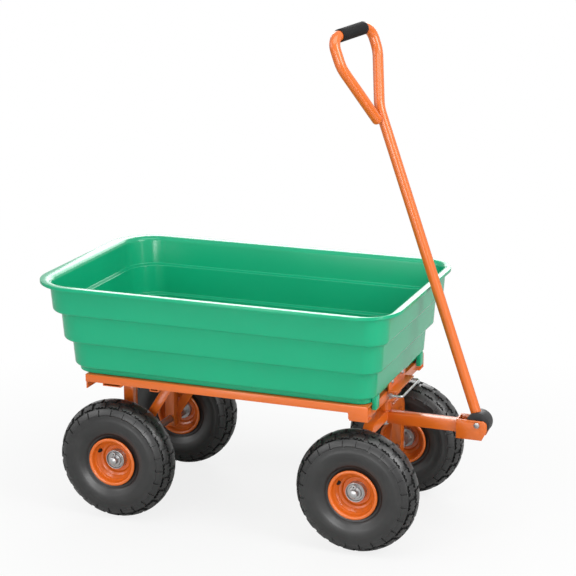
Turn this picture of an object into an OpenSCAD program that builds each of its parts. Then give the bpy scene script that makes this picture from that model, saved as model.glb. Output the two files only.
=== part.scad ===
// Tipping garden cart: a stepped plastic tub that tips backwards on a steel chassis, with four
// pneumatic wheels, a steered front axle and a long pull handle with a closed loop and a grip.
// Millimetres, +Z up, +X towards the handle, +Y to the cart's left, z = 0 on the ground.

/* [Tub] */
// Length of the tub over its rim
tub_l = 800; // [720:5:900]
// Width of the tub over its rim
tub_w = 520; // [480:5:580]
// Corner radius of the rim at the front, seen from above
rim_front_r = 90; // [70:1:120]
// Corner radius of the rim at the rear
rim_rear_r = 105; // [80:1:140]
// Corner radius of the top tier at the front
tier_front_r = 44; // [30:1:60]
// Corner radius of the top tier at the rear
tier_rear_r = 70; // [50:1:90]
// How much wider the rim is over the rear, where the load slides out
rear_lip = 10; // [0:1:20]
// Thickness of the moulded wall
tub_wall = 4; // [3:0.5:6]
// Height of the top tier, with the rim
tier_1_h = 66; // [50:1:80]
// Height of the middle tier
tier_2_h = 64; // [45:1:80]
// Height of the bottom tier
tier_3_h = 59; // [45:1:75]
// How far the rim stands out beyond the top tier
rim_flare = 19; // [14:0.5:24]
// Thickness of the rim's rolled lip
rim_lip = 8; // [6:0.5:11]
// Width of the step between two tiers
step_w = 14; // [11:0.5:18]
// How far a tier's wall leans in from its top to its bottom
tier_draft = 4; // [2:0.5:7]
// Rounding of the steps
step_round = 4; // [2:0.5:5]
// Height of the rib under the floor that rests on the rails
plinth_h = 12; // [8:0.5:16]
// Width of that rib
plinth_w = 16; // [12:0.5:22]
// How far the rib stands in from the bottom tier
plinth_inset = 12; // [8:0.5:16]

/* [Wheels and axles] */
// How far the tub's rim reaches ahead of the front axle
front_overhang_l = 90; // [70:1:110]
// How far the tub's rim reaches behind the rear axle
rear_overhang_l = 170; // [150:1:190]
// Distance between the middle planes of the left and right wheels
track = 348; // [340:1:400]
// Outer diameter of the tyres
tyre_d = 260; // [240:1:290]
// Width of the tyres at their widest
tyre_w = 80; // [70:1:88]
// Thickness of the tyre's wall
tyre_wall = 8; // [6:0.5:10]
// Blocks round each shoulder of the tread
tread_blocks = 26; // [20:1:32]
// Depth of the slots between those blocks
tread_depth = 2.5; // [1.5:0.1:4]
// Width of those slots
slot_w = 3.5; // [2:0.1:6]
// Diameter over the rims' lips
lip_d = 106; // [98:1:120]
// Width of the rims over their lips
rim_w = 70; // [62:1:76]
// Thickness of the rims' pressed sheet
rim_t = 2.5; // [1.5:0.1:3.5]
// Diameter of the axles
axle_d = 16; // [12:0.5:20]
// Diameter of the hubs' bearing cups
cup_d = 42; // [36:1:50]
// How far the hub's outer end lies inside the rim's lip
hub_recess = 18; // [12:0.5:24]

/* [Chassis] */
// Height of the rails' side faces
rail_h = 16; // [12:0.5:24]
// Width of the rails' top flanges
rail_flange = 30; // [24:1:40]
// Thickness of the rails' sheet
rail_t = 2.5; // [2:0.1:4]
// How far the rails' side faces stand outside the tub's rib
rail_margin = 10; // [6:0.5:14]
// Room above the front bolster for its bolts' heads
bolt_room = 7; // [6.5:0.5:12]
// Length of the corner plates at the rails' front ends
corner_l = 42; // [36:1:52]
// Height of the bolsters and cross tubes
bolster_h = 20; // [16:1:26]
// Wall of the square and flat tubes
tube_wall = 2; // [1.5:0.1:3]
// Side of the square tube of the axle yokes
yoke_side = 22; // [18:0.5:26]
// Width of the axle yokes over their legs
yoke_w = 234; // [200:1:240]
// Outer radius of the yokes' bends
yoke_bend_r = 30; // [26:1:38]
// Gap between the front tyres and the corner plates above them
tyre_gap = 26; // [20:0.5:34]
// Width of the diagonal rear braces
brace_w = 20; // [16:0.5:24]
// Thickness of those braces
brace_t = 4; // [3:0.5:5]
// How far ahead of the rear axle the braces meet the frame
brace_reach = 98; // [80:1:120]
// Diameter of the tipping hinge's rod
hinge_rod_d = 10; // [8:0.5:12]
// Height of the tipping hinge below the rails' tops
hinge_drop = 12; // [11.5:0.25:14]

/* [Steering] */
// Height of the pedestal that carries the lower turntable plate
pedestal_h = 22.5; // [16:0.5:28]
// Diameter of that pedestal
pedestal_d = 34; // [30:1:40]
// Thickness of each turntable plate
turntable_t = 6; // [4:0.5:8]
// Diameter of the turntable plates
turntable_d = 52; // [44:1:66]
// Thickness of the plastic disc between them
disc_t = 4; // [3:0.5:6]
// Diameter of the kingpin
kingpin_d = 12; // [10:0.5:14]
// Side of the drawbar's square tube
drawbar_side = 24; // [20:0.5:28]
// Distance from the front axle to the handle's pivot
pivot_reach = 207; // [190:1:240]
// Height of the handle's pivot above the drawbar's middle
pivot_lift = 10; // [6:0.5:12]
// Length of the clevis plates
clevis_l = 65; // [60:1:80]
// Height of the clevis plates
clevis_h = 42; // [36:1:50]
// Width over the clevis plates
clevis_w = 40; // [36:1:48]
// Thickness of the clevis plates
clevis_t = 3; // [2.5:0.1:4]
// Diameter of the handle's pivot bolt
pivot_d = 8; // [6:0.5:10]

/* [Handle] */
// Diameter of the handle's tube
handle_d = 22; // [19:0.5:25]
// Wall of the handle's tube
handle_wall = 1.5; // [1.2:0.1:2.5]
// Angle by which the parked handle leans back over the tub
handle_lean = 19.3; // [17:0.1:20]
// Length from the pivot to the start of the loop
shaft_l = 684; // [600:2:760]
// Height of the loop from there to the grip
loop_h = 161; // [140:1:190]
// How far the loop reaches to the left of the shaft
loop_left = 58; // [50:1:80]
// How far the loop reaches to the right of the shaft
loop_right = 88; // [70:1:100]
// Turn of the loop about the shaft
loop_turn = 14; // [0:1:20]
// Bend radius at the ends of the grip
loop_bend_r = 26; // [23:0.5:32]
// Bend radius of the loop's wide bends
loop_wide_r = 60; // [40:1:80]
// Diameter of the grip's sleeve
grip_d = 27; // [25.5:0.5:32]
// Radius of the knuckle's nose round the pivot
knuckle_r = 25; // [20:0.5:28]

/* [Latch] */
// Width of the latch plate across the cart
latch_w = 116; // [90:1:140]
// How far the latch plate's flange stands forward
latch_reach = 22; // [20:1:25]
// Height of the latch plate
latch_h = 22; // [20:1:26]
// Diameter of the bail's wire
bail_d = 5; // [4:0.5:6]
// Length of the bail from its pivot
bail_l = 25; // [22:1:34]

/* [Hidden] */
$fn = 48;

// Clearances and thicknesses that several pieces share
seat_gap = 0.3;
run_gap = 0.08;
slip_gap = 0.2;
side_gap = 0.5;
overrun = 1;
washer_t = 2;
plate_t = 3;
washer_over = 10;
cotter_d = 3;
cotter_over = 4;
bolt_d = 8;
bolt_head_d = 15;
bolt_head_h = 6;
bolt_foot_h = 2.5;
screw_d = 5;
screw_head_d = 11;
screw_head_h = 3;

// Places along the cart, from the rear rim to the knuckle's nose, centred on the origin
wheelbase = tub_l - front_overhang_l - rear_overhang_l;
overall_l = rear_overhang_l + wheelbase + pivot_reach + knuckle_r;
tub_rear_x = -overall_l / 2;
tub_x = tub_rear_x + tub_l / 2;
tub_front_x = tub_rear_x + tub_l;
rear_x = tub_rear_x + rear_overhang_l;
front_x = rear_x + wheelbase;
pivot_x = front_x + pivot_reach;
end_share = 0.91;

// Insets of the tub's levels from the rim's edge, at the sides
t1_top = rim_flare;
t1_bottom = t1_top + tier_draft;
t2_top = t1_bottom + step_w;
t2_bottom = t2_top + tier_draft;
t3_top = t2_bottom + step_w;
t3_bottom = t3_top + tier_draft;
plinth_out = t3_bottom + plinth_inset;
plinth_in = plinth_out + plinth_w;

// Heights
axle_z = tyre_d / 2;
corner_low = tyre_d + tyre_gap;
turntable_top = corner_low + rail_t;
bolster_top = turntable_top + bolster_h;
rail_top = bolster_top + bolt_room + rail_t;
lower_plate_z = turntable_top - 2 * turntable_t - disc_t;
yoke_top = lower_plate_z - pedestal_h;
seat_z = rail_top + seat_gap;
tub_floor_z = seat_z + plinth_h;
floor_top_z = tub_floor_z + tub_wall;
step_23_z = tub_floor_z + tier_3_h;
step_12_z = step_23_z + tier_2_h;
tub_top_z = step_12_z + tier_1_h;
cross_top = rail_top - rail_t;
rear_yoke_top = cross_top - bolster_h;
drawbar_z = yoke_top - yoke_side + drawbar_side / 4;
pivot_z = drawbar_z + pivot_lift;

// Widths and lengths of the frame
plinth_half_w = tub_w / 2 - plinth_out;
rail_y = plinth_half_w + rail_margin;
corner_ahead_share = 0.667;
frame_front_x = front_x + corner_ahead_share * corner_l;
corner_rear_x = frame_front_x - corner_l;
hinge_x = tub_rear_x + end_share * plinth_in + rear_lip + hinge_rod_d;
eye_over = 9;
eye_d = hinge_rod_d + eye_over;
hinge_setback = eye_d / 2 + overrun + side_gap;
frame_rear_x = hinge_x + hinge_setback;
hinge_z = rail_top - hinge_drop;
lug_w = 40;
lug_t = 5;
ear_t = 4;
brace_x = rear_x + brace_reach;
leg_out = yoke_w / 2;
leg_in = leg_out - yoke_side;

// Places along the wheels' axles
wheel_y = track / 2;
hub_end = rim_w / 2 - hub_recess;
hub_inner = wheel_y - leg_out - brace_t - 2 * washer_t;
sleeve_over = 10;
sleeve_d = axle_d + sleeve_over;
cotter_y = wheel_y + hub_end + washer_t + cotter_d;
axle_end_y = cotter_y + cotter_over;

// Places on the front of the tub
latch_x = tub_front_x - end_share * plinth_out;
latch_top = seat_z + plinth_h - overrun;
latch_flange_z = latch_top - latch_h;
bail_x = latch_x + plate_t + bail_d;
bail_z = latch_flange_z - bail_d - overrun;
bail_pin_d = bail_d + overrun;
ear_r = bail_d;
ear_y = latch_w / 2;

GREEN = [0.16, 0.62, 0.42];
ORANGE = [0.88, 0.40, 0.13];
BLACK = [0.09, 0.09, 0.09];
RUBBER = [0.16, 0.16, 0.16];
ZINC = [0.74, 0.75, 0.76];
NYLON = [0.88, 0.87, 0.82];

// General shapes

// A box between two corners
module box(low, high) {
    translate(low) cube(high - low);
}

// A rod along Y, from y0 to y1
module rod_y(x, z, d, y0, y1) {
    translate([x, y0, z]) rotate([-90, 0, 0]) cylinder(d = d, h = y1 - y0);
}

// A rod along Z, from z0 to z1
module rod_z(x, y, d, z0, z1) {
    translate([x, y, z0]) cylinder(d = d, h = z1 - z0);
}

// A flat outline in X and Z, given a thickness from y0 to y1
module plate_y(y0, y1) {
    translate([0, y1, 0]) rotate([90, 0, 0]) linear_extrude(y1 - y0) children();
}

// A flat outline in Y and Z, given a thickness from x0 to x1
module plate_x(x0, x1) {
    translate([x0, 0, 0]) rotate([90, 0, 90]) linear_extrude(x1 - x0) children();
}

// A copy on each side of the cart
module both_sides() {
    children();
    mirror([0, 1, 0]) children();
}

// A washer across the axle, lying from y0 to y1
module washer_y(x, z, bore, y0, y1) {
    difference() {
        rod_y(x, z, bore + washer_over, y0, y1);
        rod_y(x, z, bore + 2 * run_gap, y0 - overrun, y1 + overrun);
    }
}

// Hexagonal head or nut along Z
module hex_z(x, y, d, z0, z1) {
    translate([x, y, z0]) cylinder(d = d, h = z1 - z0, $fn = 6);
}

// A rectangular hollow tube along Y between two corners
module tube_y(low, high) {
    difference() {
        box(low, high);
        box([low.x + tube_wall, low.y - overrun, low.z + tube_wall],
            [high.x - tube_wall, high.y + overrun, high.z - tube_wall]);
    }
}

// A vertical hole through a tube
module hole_z(x, y, d, z0, z1) {
    rod_z(x, y, d, z0 - overrun, z1 + overrun);
}

// Bent bars and tubes follow a flat polyline, with an arc of its own radius at each corner
function heading(a, b) = atan2(b.y - a.y, b.x - a.x);
function wrapped(a) = a > 180 ? a - 360 : a < -180 ? a + 360 : a;
function turn_at(p, i) = wrapped(heading(p[i], p[i + 1]) - heading(p[i - 1], p[i]));
function cut_at(p, r, i) = i == 0 || i == len(p) - 1 ? 0 : r[i] * tan(abs(turn_at(p, i)) / 2);

module bent_bar(p, r, d) {
    for (i = [0 : len(p) - 2]) {
        start = cut_at(p, r, i);
        run = norm(p[i + 1] - p[i]) - start - cut_at(p, r, i + 1);
        translate(p[i])
            rotate(heading(p[i], p[i + 1]))
                translate([start, 0, 0])
                    rotate([0, 90, 0]) cylinder(d = d, h = run);
    }
    for (i = [1 : len(p) - 2]) {
        turn = turn_at(p, i);
        side = sign(turn);
        translate(p[i])
            rotate(heading(p[i - 1], p[i]))
                translate([-cut_at(p, r, i), side * r[i], 0])
                    rotate(side > 0 ? -90 : 90 + turn)
                        rotate_extrude(angle = abs(turn))
                            translate([r[i], 0]) circle(d = d);
    }
}

// Stations along the bent path: the place and the heading of each
bend_steps = 6;
function arc_stations(p, r, i) =
    let (h = heading(p[i - 1], p[i]),
         turn = turn_at(p, i),
         arm = sign(turn) * r[i],
         centre = p[i] - cut_at(p, r, i) * [cos(h), sin(h)] + arm * [-sin(h), cos(h)])
        [for (k = [0 : bend_steps])
            let (a = h + turn * k / bend_steps) [centre - arm * [-sin(a), cos(a)], a]];
function stations(p, r) = concat(
    [[p[0], heading(p[0], p[1])]],
    [for (i = [1 : len(p) - 2]) each arc_stations(p, r, i)],
    [[p[len(p) - 1], heading(p[len(p) - 2], p[len(p) - 1])]]
);

tube_sides = 18;
function tube_ring(s, d) = [
    for (j = [0 : tube_sides - 1])
        let (a = 360 * j / tube_sides)
            [s[0].x - d / 2 * cos(a) * sin(s[1]), s[0].y + d / 2 * cos(a) * cos(s[1]), d / 2 * sin(a)]
];

// Two rings of a surface, joined all the way round
function strip(a, b, n) = [
    for (j = [0 : n - 1])
        let (k = (j + 1) % n)
            each [[a + j, b + j, b + k], [a + j, b + k, a + k]]
];

// A hollow tube along the path, open at both ends
module bent_tube(p, r, d, wall) {
    path = stations(p, r);
    rings = concat([for (s = path) tube_ring(s, d)], [for (s = reversed(path)) tube_ring(s, d - 2 * wall)]);
    n = len(rings);
    polyhedron(
        points = [for (ring = rings) each ring],
        faces = [for (i = [0 : n - 1]) each strip(i * tube_sides, (i + 1) % n * tube_sides, tube_sides)]
    );
}

// Tub: a loft of rounded rectangles, from the floor's underside, up the outer wall,
// over the rim and down the inner wall to the floor
corner_points = 12;
ring_points = 4 * corner_points;

// The corners tighten quickly from the rim to the top tier, then slowly from tier to tier,
// and run parallel from the bottom tier to the rib under it
corner_fall_share = 0.15;
function level_share(inset) = min(1, inset / t1_top);
function corner_r(inset, rim_r, tier_r) = max(
    tub_wall,
    rim_r + (tier_r - rim_r) * level_share(inset)
        - corner_fall_share * max(0, inset - t1_top) - max(0, inset - t3_bottom)
);

function ring(inset, z) =
    let (front = tub_front_x - end_share * inset,
         rear = tub_rear_x + end_share * inset + rear_lip * level_share(inset),
         front_r = corner_r(inset, rim_front_r, tier_front_r),
         rear_r = corner_r(inset, rim_rear_r, tier_rear_r))
    [
        for (q = [0 : 3], k = [0 : corner_points - 1])
            let (ahead = q == 0 || q == 3,
                 r = ahead ? front_r : rear_r,
                 a = 90 * q + 90 * k / (corner_points - 1),
                 side = q < 2 ? 1 : -1)
                [(ahead ? front - r : rear + r) + r * cos(a),
                 side * (tub_w / 2 - inset - r) + r * sin(a), z]
    ];

// A rounded corner of the profile between a level run and an upright one
soft_share = 0.3;
lip_round_share = 0.25;
function foot_round(i, z, f) = [
    [i + f, z], [i + soft_share * f, z + soft_share * f], [i, z + f]
];
function head_round(i, z, f) = [
    [i, z - f], [i - soft_share * f, z - soft_share * f], [i - f, z]
];

tub_outer = concat(
    [[plinth_in, tub_floor_z], [plinth_in, seat_z], [plinth_out, seat_z], [plinth_out, tub_floor_z]],
    foot_round(t3_bottom, tub_floor_z, step_round),
    head_round(t3_top, step_23_z, step_round),
    foot_round(t2_bottom, step_23_z, step_round),
    head_round(t2_top, step_12_z, step_round),
    foot_round(t1_bottom, step_12_z, step_round),
    head_round(t1_top, tub_top_z - rim_lip, step_round)
);
lip_round = lip_round_share * rim_lip;
tub_rim = [
    [lip_round, tub_top_z - rim_lip], [0, tub_top_z - rim_lip + lip_round],
    [0, tub_top_z - lip_round], [lip_round, tub_top_z], [t1_top - step_round, tub_top_z],
    [t1_top + tub_wall - soft_share * step_round, tub_top_z - soft_share * step_round],
    [t1_top + tub_wall, tub_top_z - step_round]
];
function reversed(list) = [for (i = [len(list) - 1 : -1 : 0]) list[i]];
tub_inner = concat(
    reversed(foot_round(t1_bottom + tub_wall, step_12_z + tub_wall, step_round)),
    reversed(head_round(t2_top + tub_wall, step_12_z + tub_wall, step_round)),
    reversed(foot_round(t2_bottom + tub_wall, step_23_z + tub_wall, step_round)),
    reversed(head_round(t3_top + tub_wall, step_23_z + tub_wall, step_round)),
    reversed(foot_round(t3_bottom + tub_wall, floor_top_z, 2 * step_round))
);
tub_levels = concat(tub_outer, tub_rim, tub_inner);

module tub_shell() {
    n = len(tub_levels);
    polyhedron(
        points = [for (l = tub_levels) each ring(l[0], l[1])],
        faces = concat(
            [[for (j = [0 : ring_points - 1]) j]],
            [for (i = [0 : n - 2]) each strip(i * ring_points, (i + 1) * ring_points, ring_points)],
            [[for (j = [ring_points - 1 : -1 : 0]) (n - 1) * ring_points + j]]
        )
    );
}

// Moulded stops that hang from the tub's front corners ahead of the bolster
stop_t = 10;
stop_w = 26;
stop_drop = 15;
stop_sink = 2;
stop_y = tub_w / 2 - t3_bottom - tier_front_r;

module stop() {
    low = stop_y - stop_w / 2;
    high = stop_y + stop_w / 2;
    front = frame_front_x + side_gap + stop_t;
    box([front - stop_t, low, seat_z - stop_drop], [front, high, tub_floor_z + stop_sink]);
    box([frame_front_x - corner_l / 2, low, seat_z], [front, high, tub_floor_z + stop_sink]);
}

module tub() {
    color(GREEN) difference() {
        union() {
            tub_shell();
            both_sides() stop();
        }
        for (p = lug_bolt_places)
            lug_bolt_hole(p);
        for (y = latch_screw_ys)
            latch_screw_axis(y) cylinder(d = screw_d + 2 * slip_gap, h = plinth_w);
    }
}

// Tipping hinge: lugs under the tub's floor turn on a rod that ears on the rear crossbar carry
lug_l = 64;
lug_y = tub_w / 2 - plinth_in - corner_r(plinth_in, rim_rear_r, tier_rear_r) - lug_w / 2 - side_gap;
lug_bolt_reaches = [20, 46];
lug_bolt_places = [
    for (s = [-1, 1], d = lug_bolt_reaches) [hinge_x + d, s * lug_y]
];
lug_seat_z = tub_floor_z - plate_t;

module lug_outline() {
    translate([hinge_x, hinge_z]) circle(d = eye_d);
    translate([hinge_x - eye_d / 2, hinge_z]) square([eye_d, lug_seat_z - hinge_z]);
}

module hinge_lug(side) {
    y = side * lug_y;
    difference() {
        union() {
            plate_y(y - lug_t / 2, y + lug_t / 2) lug_outline();
            box([hinge_x - eye_d / 2, y - lug_w / 2, lug_seat_z],
                [hinge_x + lug_l, y + lug_w / 2, tub_floor_z]);
        }
        rod_y(hinge_x, hinge_z, hinge_rod_d + 2 * run_gap, y - lug_t, y + lug_t);
        for (d = lug_bolt_reaches)
            hole_z(hinge_x + d, y, bolt_d + 2 * slip_gap, lug_seat_z, tub_floor_z);
    }
}

module left_hinge_lug() {
    color(ORANGE) hinge_lug(1);
}

module right_hinge_lug() {
    color(ORANGE) hinge_lug(-1);
}

// The lugs' bolts: flat heads sunk just below the floor's surface, nuts under the lugs
nut_h = 3;
lug_head_d = 18;
lug_head_h = 2;
lug_sink = lug_head_h + seat_gap;

module lug_bolt_hole(p) {
    hole_z(p.x, p.y, bolt_d + 2 * slip_gap, tub_floor_z, floor_top_z);
    rod_z(p.x, p.y, lug_head_d + 2 * slip_gap, floor_top_z - lug_sink, floor_top_z + overrun);
}

module lug_bolts() {
    color(ZINC) for (p = lug_bolt_places) {
        rod_z(p.x, p.y, bolt_d, lug_seat_z - nut_h, floor_top_z - lug_sink);
        rod_z(p.x, p.y, lug_head_d, floor_top_z - lug_sink, floor_top_z - seat_gap);
        hex_z(p.x, p.y, bolt_head_d, lug_seat_z - nut_h, lug_seat_z);
    }
}

module hinge_ears() {
    gap = lug_t / 2 + side_gap;
    color(ORANGE) for (s = [-1, 1], t = [-1, 1]) {
        y = s * lug_y + t * (gap + ear_t / 2);
        difference() {
            plate_y(y - ear_t / 2, y + ear_t / 2) {
                translate([hinge_x, hinge_z]) circle(d = eye_d);
                translate([hinge_x, hinge_z - eye_d / 2])
                    square([hinge_setback, eye_d / 2 + overrun]);
            }
            rod_y(hinge_x, hinge_z, hinge_rod_d + 2 * run_gap, y - ear_t, y + ear_t);
        }
    }
}

rod_head_t = 4;
rod_reach = lug_y + lug_t / 2 + side_gap + ear_t + side_gap;

module hinge_rod() {
    color(ZINC) {
        rod_y(hinge_x, hinge_z, hinge_rod_d, -rod_reach, rod_reach);
        both_sides()
            rod_y(hinge_x, hinge_z, eye_d - overrun, rod_reach, rod_reach + rod_head_t);
    }
}

// Latch: a plate on the tub's front carries a pin, and a wire bail turns the pin and its hook
latch_screw_share = 0.3;
latch_screw_ys = [-latch_screw_share * latch_w, latch_screw_share * latch_w];
latch_screw_z = latch_top - screw_head_d / 2;

module latch_screw_axis(y) {
    translate([latch_x + plate_t, y, latch_screw_z]) rotate([0, -90, 0]) children();
}

module latch_ear_outline() {
    translate([bail_x, bail_z]) circle(r = ear_r + plate_t / 2);
    translate([bail_x - ear_r - plate_t / 2, bail_z])
        square([2 * ear_r + plate_t, latch_flange_z + overrun - bail_z]);
}

module latch_plate() {
    color(ORANGE) difference() {
        union() {
            box([latch_x, -latch_w / 2, latch_flange_z], [latch_x + plate_t, latch_w / 2, latch_top]);
            box([latch_x, -latch_w / 2, latch_flange_z],
                [latch_x + latch_reach, latch_w / 2, latch_flange_z + plate_t]);
            for (s = [-1, 1])
                plate_y(s * (ear_y - plate_t / 2) - plate_t / 2, s * (ear_y - plate_t / 2) + plate_t / 2)
                    latch_ear_outline();
        }
        rod_y(bail_x, bail_z, bail_pin_d + 2 * run_gap, -latch_w, latch_w);
        for (y = latch_screw_ys)
            latch_screw_axis(y) translate([0, 0, -overrun])
                cylinder(d = screw_d + 2 * slip_gap, h = plate_t + 2 * overrun);
    }
}

screw_l = 14;

module latch_screws() {
    color(ZINC) for (y = latch_screw_ys) latch_screw_axis(y) {
        cylinder(d = screw_d, h = screw_l);
        translate([0, 0, -screw_head_h]) cylinder(d1 = screw_d, d2 = screw_head_d, h = screw_head_h);
    }
}

bail_eye_y = ear_y + side_gap;
bail_eye_d = bail_pin_d + plate_t;
pin_reach = bail_eye_y + bail_d + 2 * side_gap;

module latch_pin() {
    color(ZINC) rod_y(bail_x, bail_z, bail_pin_d, -pin_reach, pin_reach);
}

hook_w = 36;
hook_drop = bail_z - corner_low;
hook_x = bail_x - bail_pin_d / 2 - plate_t / 2;

module latch_hook() {
    color(ORANGE) difference() {
        plate_y(-hook_w / 2, hook_w / 2) {
            translate([bail_x, bail_z]) circle(d = bail_eye_d);
            translate([hook_x, bail_z - hook_drop]) square([plate_t, hook_drop]);
        }
        rod_y(bail_x, bail_z, bail_pin_d + 2 * run_gap, -hook_w, hook_w);
    }
}

bail_bend_r = 6;

module latch_bail() {
    half = (bail_eye_y + pin_reach) / 2;
    path = [[0, half], [bail_l, half], [bail_l, -half], [0, -half]];
    color(ZINC) difference() {
        union() {
            translate([bail_x, 0, bail_z]) bent_bar(path, [0, bail_bend_r, bail_bend_r, 0], bail_d);
            both_sides() rod_y(bail_x, bail_z, bail_eye_d, bail_eye_y, pin_reach);
        }
        rod_y(bail_x, bail_z, bail_pin_d + 2 * run_gap, -latch_w, latch_w);
    }
}

// Rails: angles whose side faces grow into corner plates at the front
corner_taper = 3;

module rail_outline() {
    polygon([
        [frame_rear_x, rail_top], [frame_front_x, rail_top], [frame_front_x, corner_low],
        [corner_rear_x + corner_taper, corner_low], [corner_rear_x, rail_top - rail_h],
        [frame_rear_x, rail_top - rail_h]
    ]);
}

module rail() {
    difference() {
        union() {
            plate_y(rail_y - rail_t, rail_y) rail_outline();
            box([frame_rear_x, rail_y - rail_flange, rail_top - rail_t],
                [frame_front_x, rail_y, rail_top]);
            box([corner_rear_x + corner_taper, rail_y - rail_flange, corner_low],
                [frame_front_x, rail_y, turntable_top]);
        }
        bolster_bolt_holes();
    }
}

module left_rail() {
    color(ORANGE) rail();
}

module right_rail() {
    color(ORANGE) mirror([0, 1, 0]) rail();
}

bolster_front_x = latch_x - 2 * side_gap;
bolster_bolt_share = 0.28;
bolster_bolt_in = bolster_bolt_share * (bolster_front_x - corner_rear_x);
bolster_bolt_xs = [bolster_front_x - bolster_bolt_in, corner_rear_x + bolster_bolt_in];
bolster_bolt_y = rail_y - rail_flange / 2;

module bolster_bolt_holes() {
    for (x = bolster_bolt_xs)
        rod_z(x, bolster_bolt_y, bolt_d + 2 * slip_gap, corner_low - overrun, bolster_top + overrun);
}

module front_bolster() {
    inner = rail_y - rail_t;
    color(ORANGE) difference() {
        tube_y([corner_rear_x, -inner, turntable_top], [bolster_front_x, inner, bolster_top]);
        both_sides() bolster_bolt_holes();
        hole_z(front_x, 0, kingpin_d + 2 * slip_gap, turntable_top, bolster_top);
    }
}

module bolster_bolts() {
    color(ZINC) both_sides() for (x = bolster_bolt_xs) {
        rod_z(x, bolster_bolt_y, bolt_d, corner_low, bolster_top);
        hex_z(x, bolster_bolt_y, bolt_head_d, bolster_top, bolster_top + bolt_head_h);
        rod_z(x, bolster_bolt_y, bolt_head_d, corner_low - bolt_foot_h, corner_low);
    }
}

// Tubes that run across the cart between the rails
module cross_tube(x, l) {
    inner = rail_y - rail_t;
    tube_y([x - l / 2, -inner, cross_top - bolster_h], [x + l / 2, inner, cross_top]);
}

module rear_bolster() {
    color(ORANGE) cross_tube(rear_x, corner_l);
}

module mid_crossbar() {
    color(ORANGE) cross_tube(brace_x, bolster_h);
}

module rear_crossbar() {
    inner = rail_y - rail_flange;
    color(ORANGE) {
        box([frame_rear_x, -rail_y + rail_t, rail_top - 2 * rail_h],
            [frame_rear_x + rail_t, rail_y - rail_t, cross_top]);
        box([frame_rear_x, -inner, cross_top], [frame_rear_x + rail_flange, inner, rail_top]);
    }
}

// Axle yokes: an upturned U of square tube
module arch(half_w, top, bottom, r) {
    translate([-half_w, bottom]) square([2 * half_w, top - r - bottom]);
    translate([-half_w + r, top - r]) square([2 * (half_w - r), r]);
    for (s = [-1, 1]) translate([s * (half_w - r), top - r]) circle(r = r);
}

module arch_band(half_w, top, bottom, r, side) {
    difference() {
        arch(half_w, top, bottom, r);
        arch(half_w - side, top - side, bottom - overrun, r - side);
    }
}

leg_below = 18;

module yoke(x, top) {
    half = yoke_side / 2;
    bottom = axle_z - leg_below;
    difference() {
        plate_x(x - half, x + half) arch_band(leg_out, top, bottom, yoke_bend_r, yoke_side);
        plate_x(x - half + tube_wall, x + half - tube_wall)
            arch_band(leg_out - tube_wall, top - tube_wall, bottom - overrun, yoke_bend_r - tube_wall,
                      yoke_side - 2 * tube_wall);
        rod_y(x, axle_z, axle_d + 2 * slip_gap, -yoke_w, yoke_w);
    }
}

module rear_yoke() {
    color(ORANGE) yoke(rear_x, rear_yoke_top);
}

sleeve_wall = 2.5;

module front_yoke() {
    kingpin_sleeve_d = kingpin_d + 2 * sleeve_wall;
    color(ORANGE) difference() {
        union() {
            yoke(front_x, yoke_top);
            rod_z(front_x, 0, kingpin_sleeve_d, yoke_top - yoke_side, yoke_top);
        }
        hole_z(front_x, 0, kingpin_d + 2 * run_gap, yoke_top - yoke_side, yoke_top);
    }
}

// Diagonal braces outside the rear yoke's legs, from the axle to the mid crossbar
module brace() {
    foot = [rear_x, axle_z];
    head = [brace_x, cross_top - bolster_h - brace_w / 2];
    span = head - foot;
    difference() {
        union() {
            plate_y(leg_out, leg_out + brace_t) {
                translate(foot) circle(d = axle_d + brace_w);
                translate(foot) rotate(atan2(span.y, span.x)) translate([0, -brace_w / 2])
                    square([norm(span), brace_w]);
                translate(head) circle(d = brace_w);
                translate(head - [brace_w / 2, 0]) square([brace_w, brace_w / 2]);
            }
        }
        rod_y(rear_x, axle_z, axle_d + 2 * slip_gap, leg_out - overrun, leg_out + brace_t + overrun);
    }
}

module left_brace() {
    color(ORANGE) brace();
}

module right_brace() {
    color(ORANGE) mirror([0, 1, 0]) brace();
}

// Axles with rounded ends, and what holds the wheels on them
dome_share = 0.3;

module axle(x) {
    color(ZINC) difference() {
        union() {
            rod_y(x, axle_z, axle_d, -axle_end_y, axle_end_y);
            both_sides() translate([x, axle_end_y, axle_z]) intersection() {
                rotate([-90, 0, 0]) cylinder(d = axle_d, h = dome_share * axle_d);
                translate([0, dome_share * axle_d - axle_d, 0]) sphere(r = axle_d);
            }
        }
        both_sides() rod_z(x, cotter_y, cotter_d + 2 * run_gap, axle_z - axle_d, axle_z + axle_d);
    }
}

module rear_axle() {
    axle(rear_x);
}

module front_axle() {
    axle(front_x);
}

// A cotter pin through the axle, with an eye above
cotter_eye_t = 4;

module cotters(x) {
    reach = axle_d / 2 + cotter_d;
    eye_z = axle_z + reach + cotter_d;
    low = cotter_y - cotter_eye_t / 2;
    high = cotter_y + cotter_eye_t / 2;
    color(ZINC) both_sides() {
        rod_z(x, cotter_y, cotter_d, axle_z - reach, axle_z + reach);
        difference() {
            rod_y(x, eye_z, 3 * cotter_d, low, high);
            rod_y(x, eye_z, cotter_d, low - overrun, high + overrun);
        }
    }
}

module rear_cotters() {
    cotters(rear_x);
}

module front_cotters() {
    cotters(front_x);
}

outer_washer_y = wheel_y + hub_end + slip_gap;
inner_washer_y = wheel_y - hub_inner - slip_gap;

module rear_washers() {
    color(ZINC) both_sides() {
        washer_y(rear_x, axle_z, axle_d, outer_washer_y, outer_washer_y + washer_t);
        washer_y(rear_x, axle_z, axle_d, leg_out + brace_t, inner_washer_y);
    }
}

module front_washers() {
    color(ZINC) both_sides()
        washer_y(front_x, axle_z, axle_d, outer_washer_y, outer_washer_y + washer_t);
}

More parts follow.
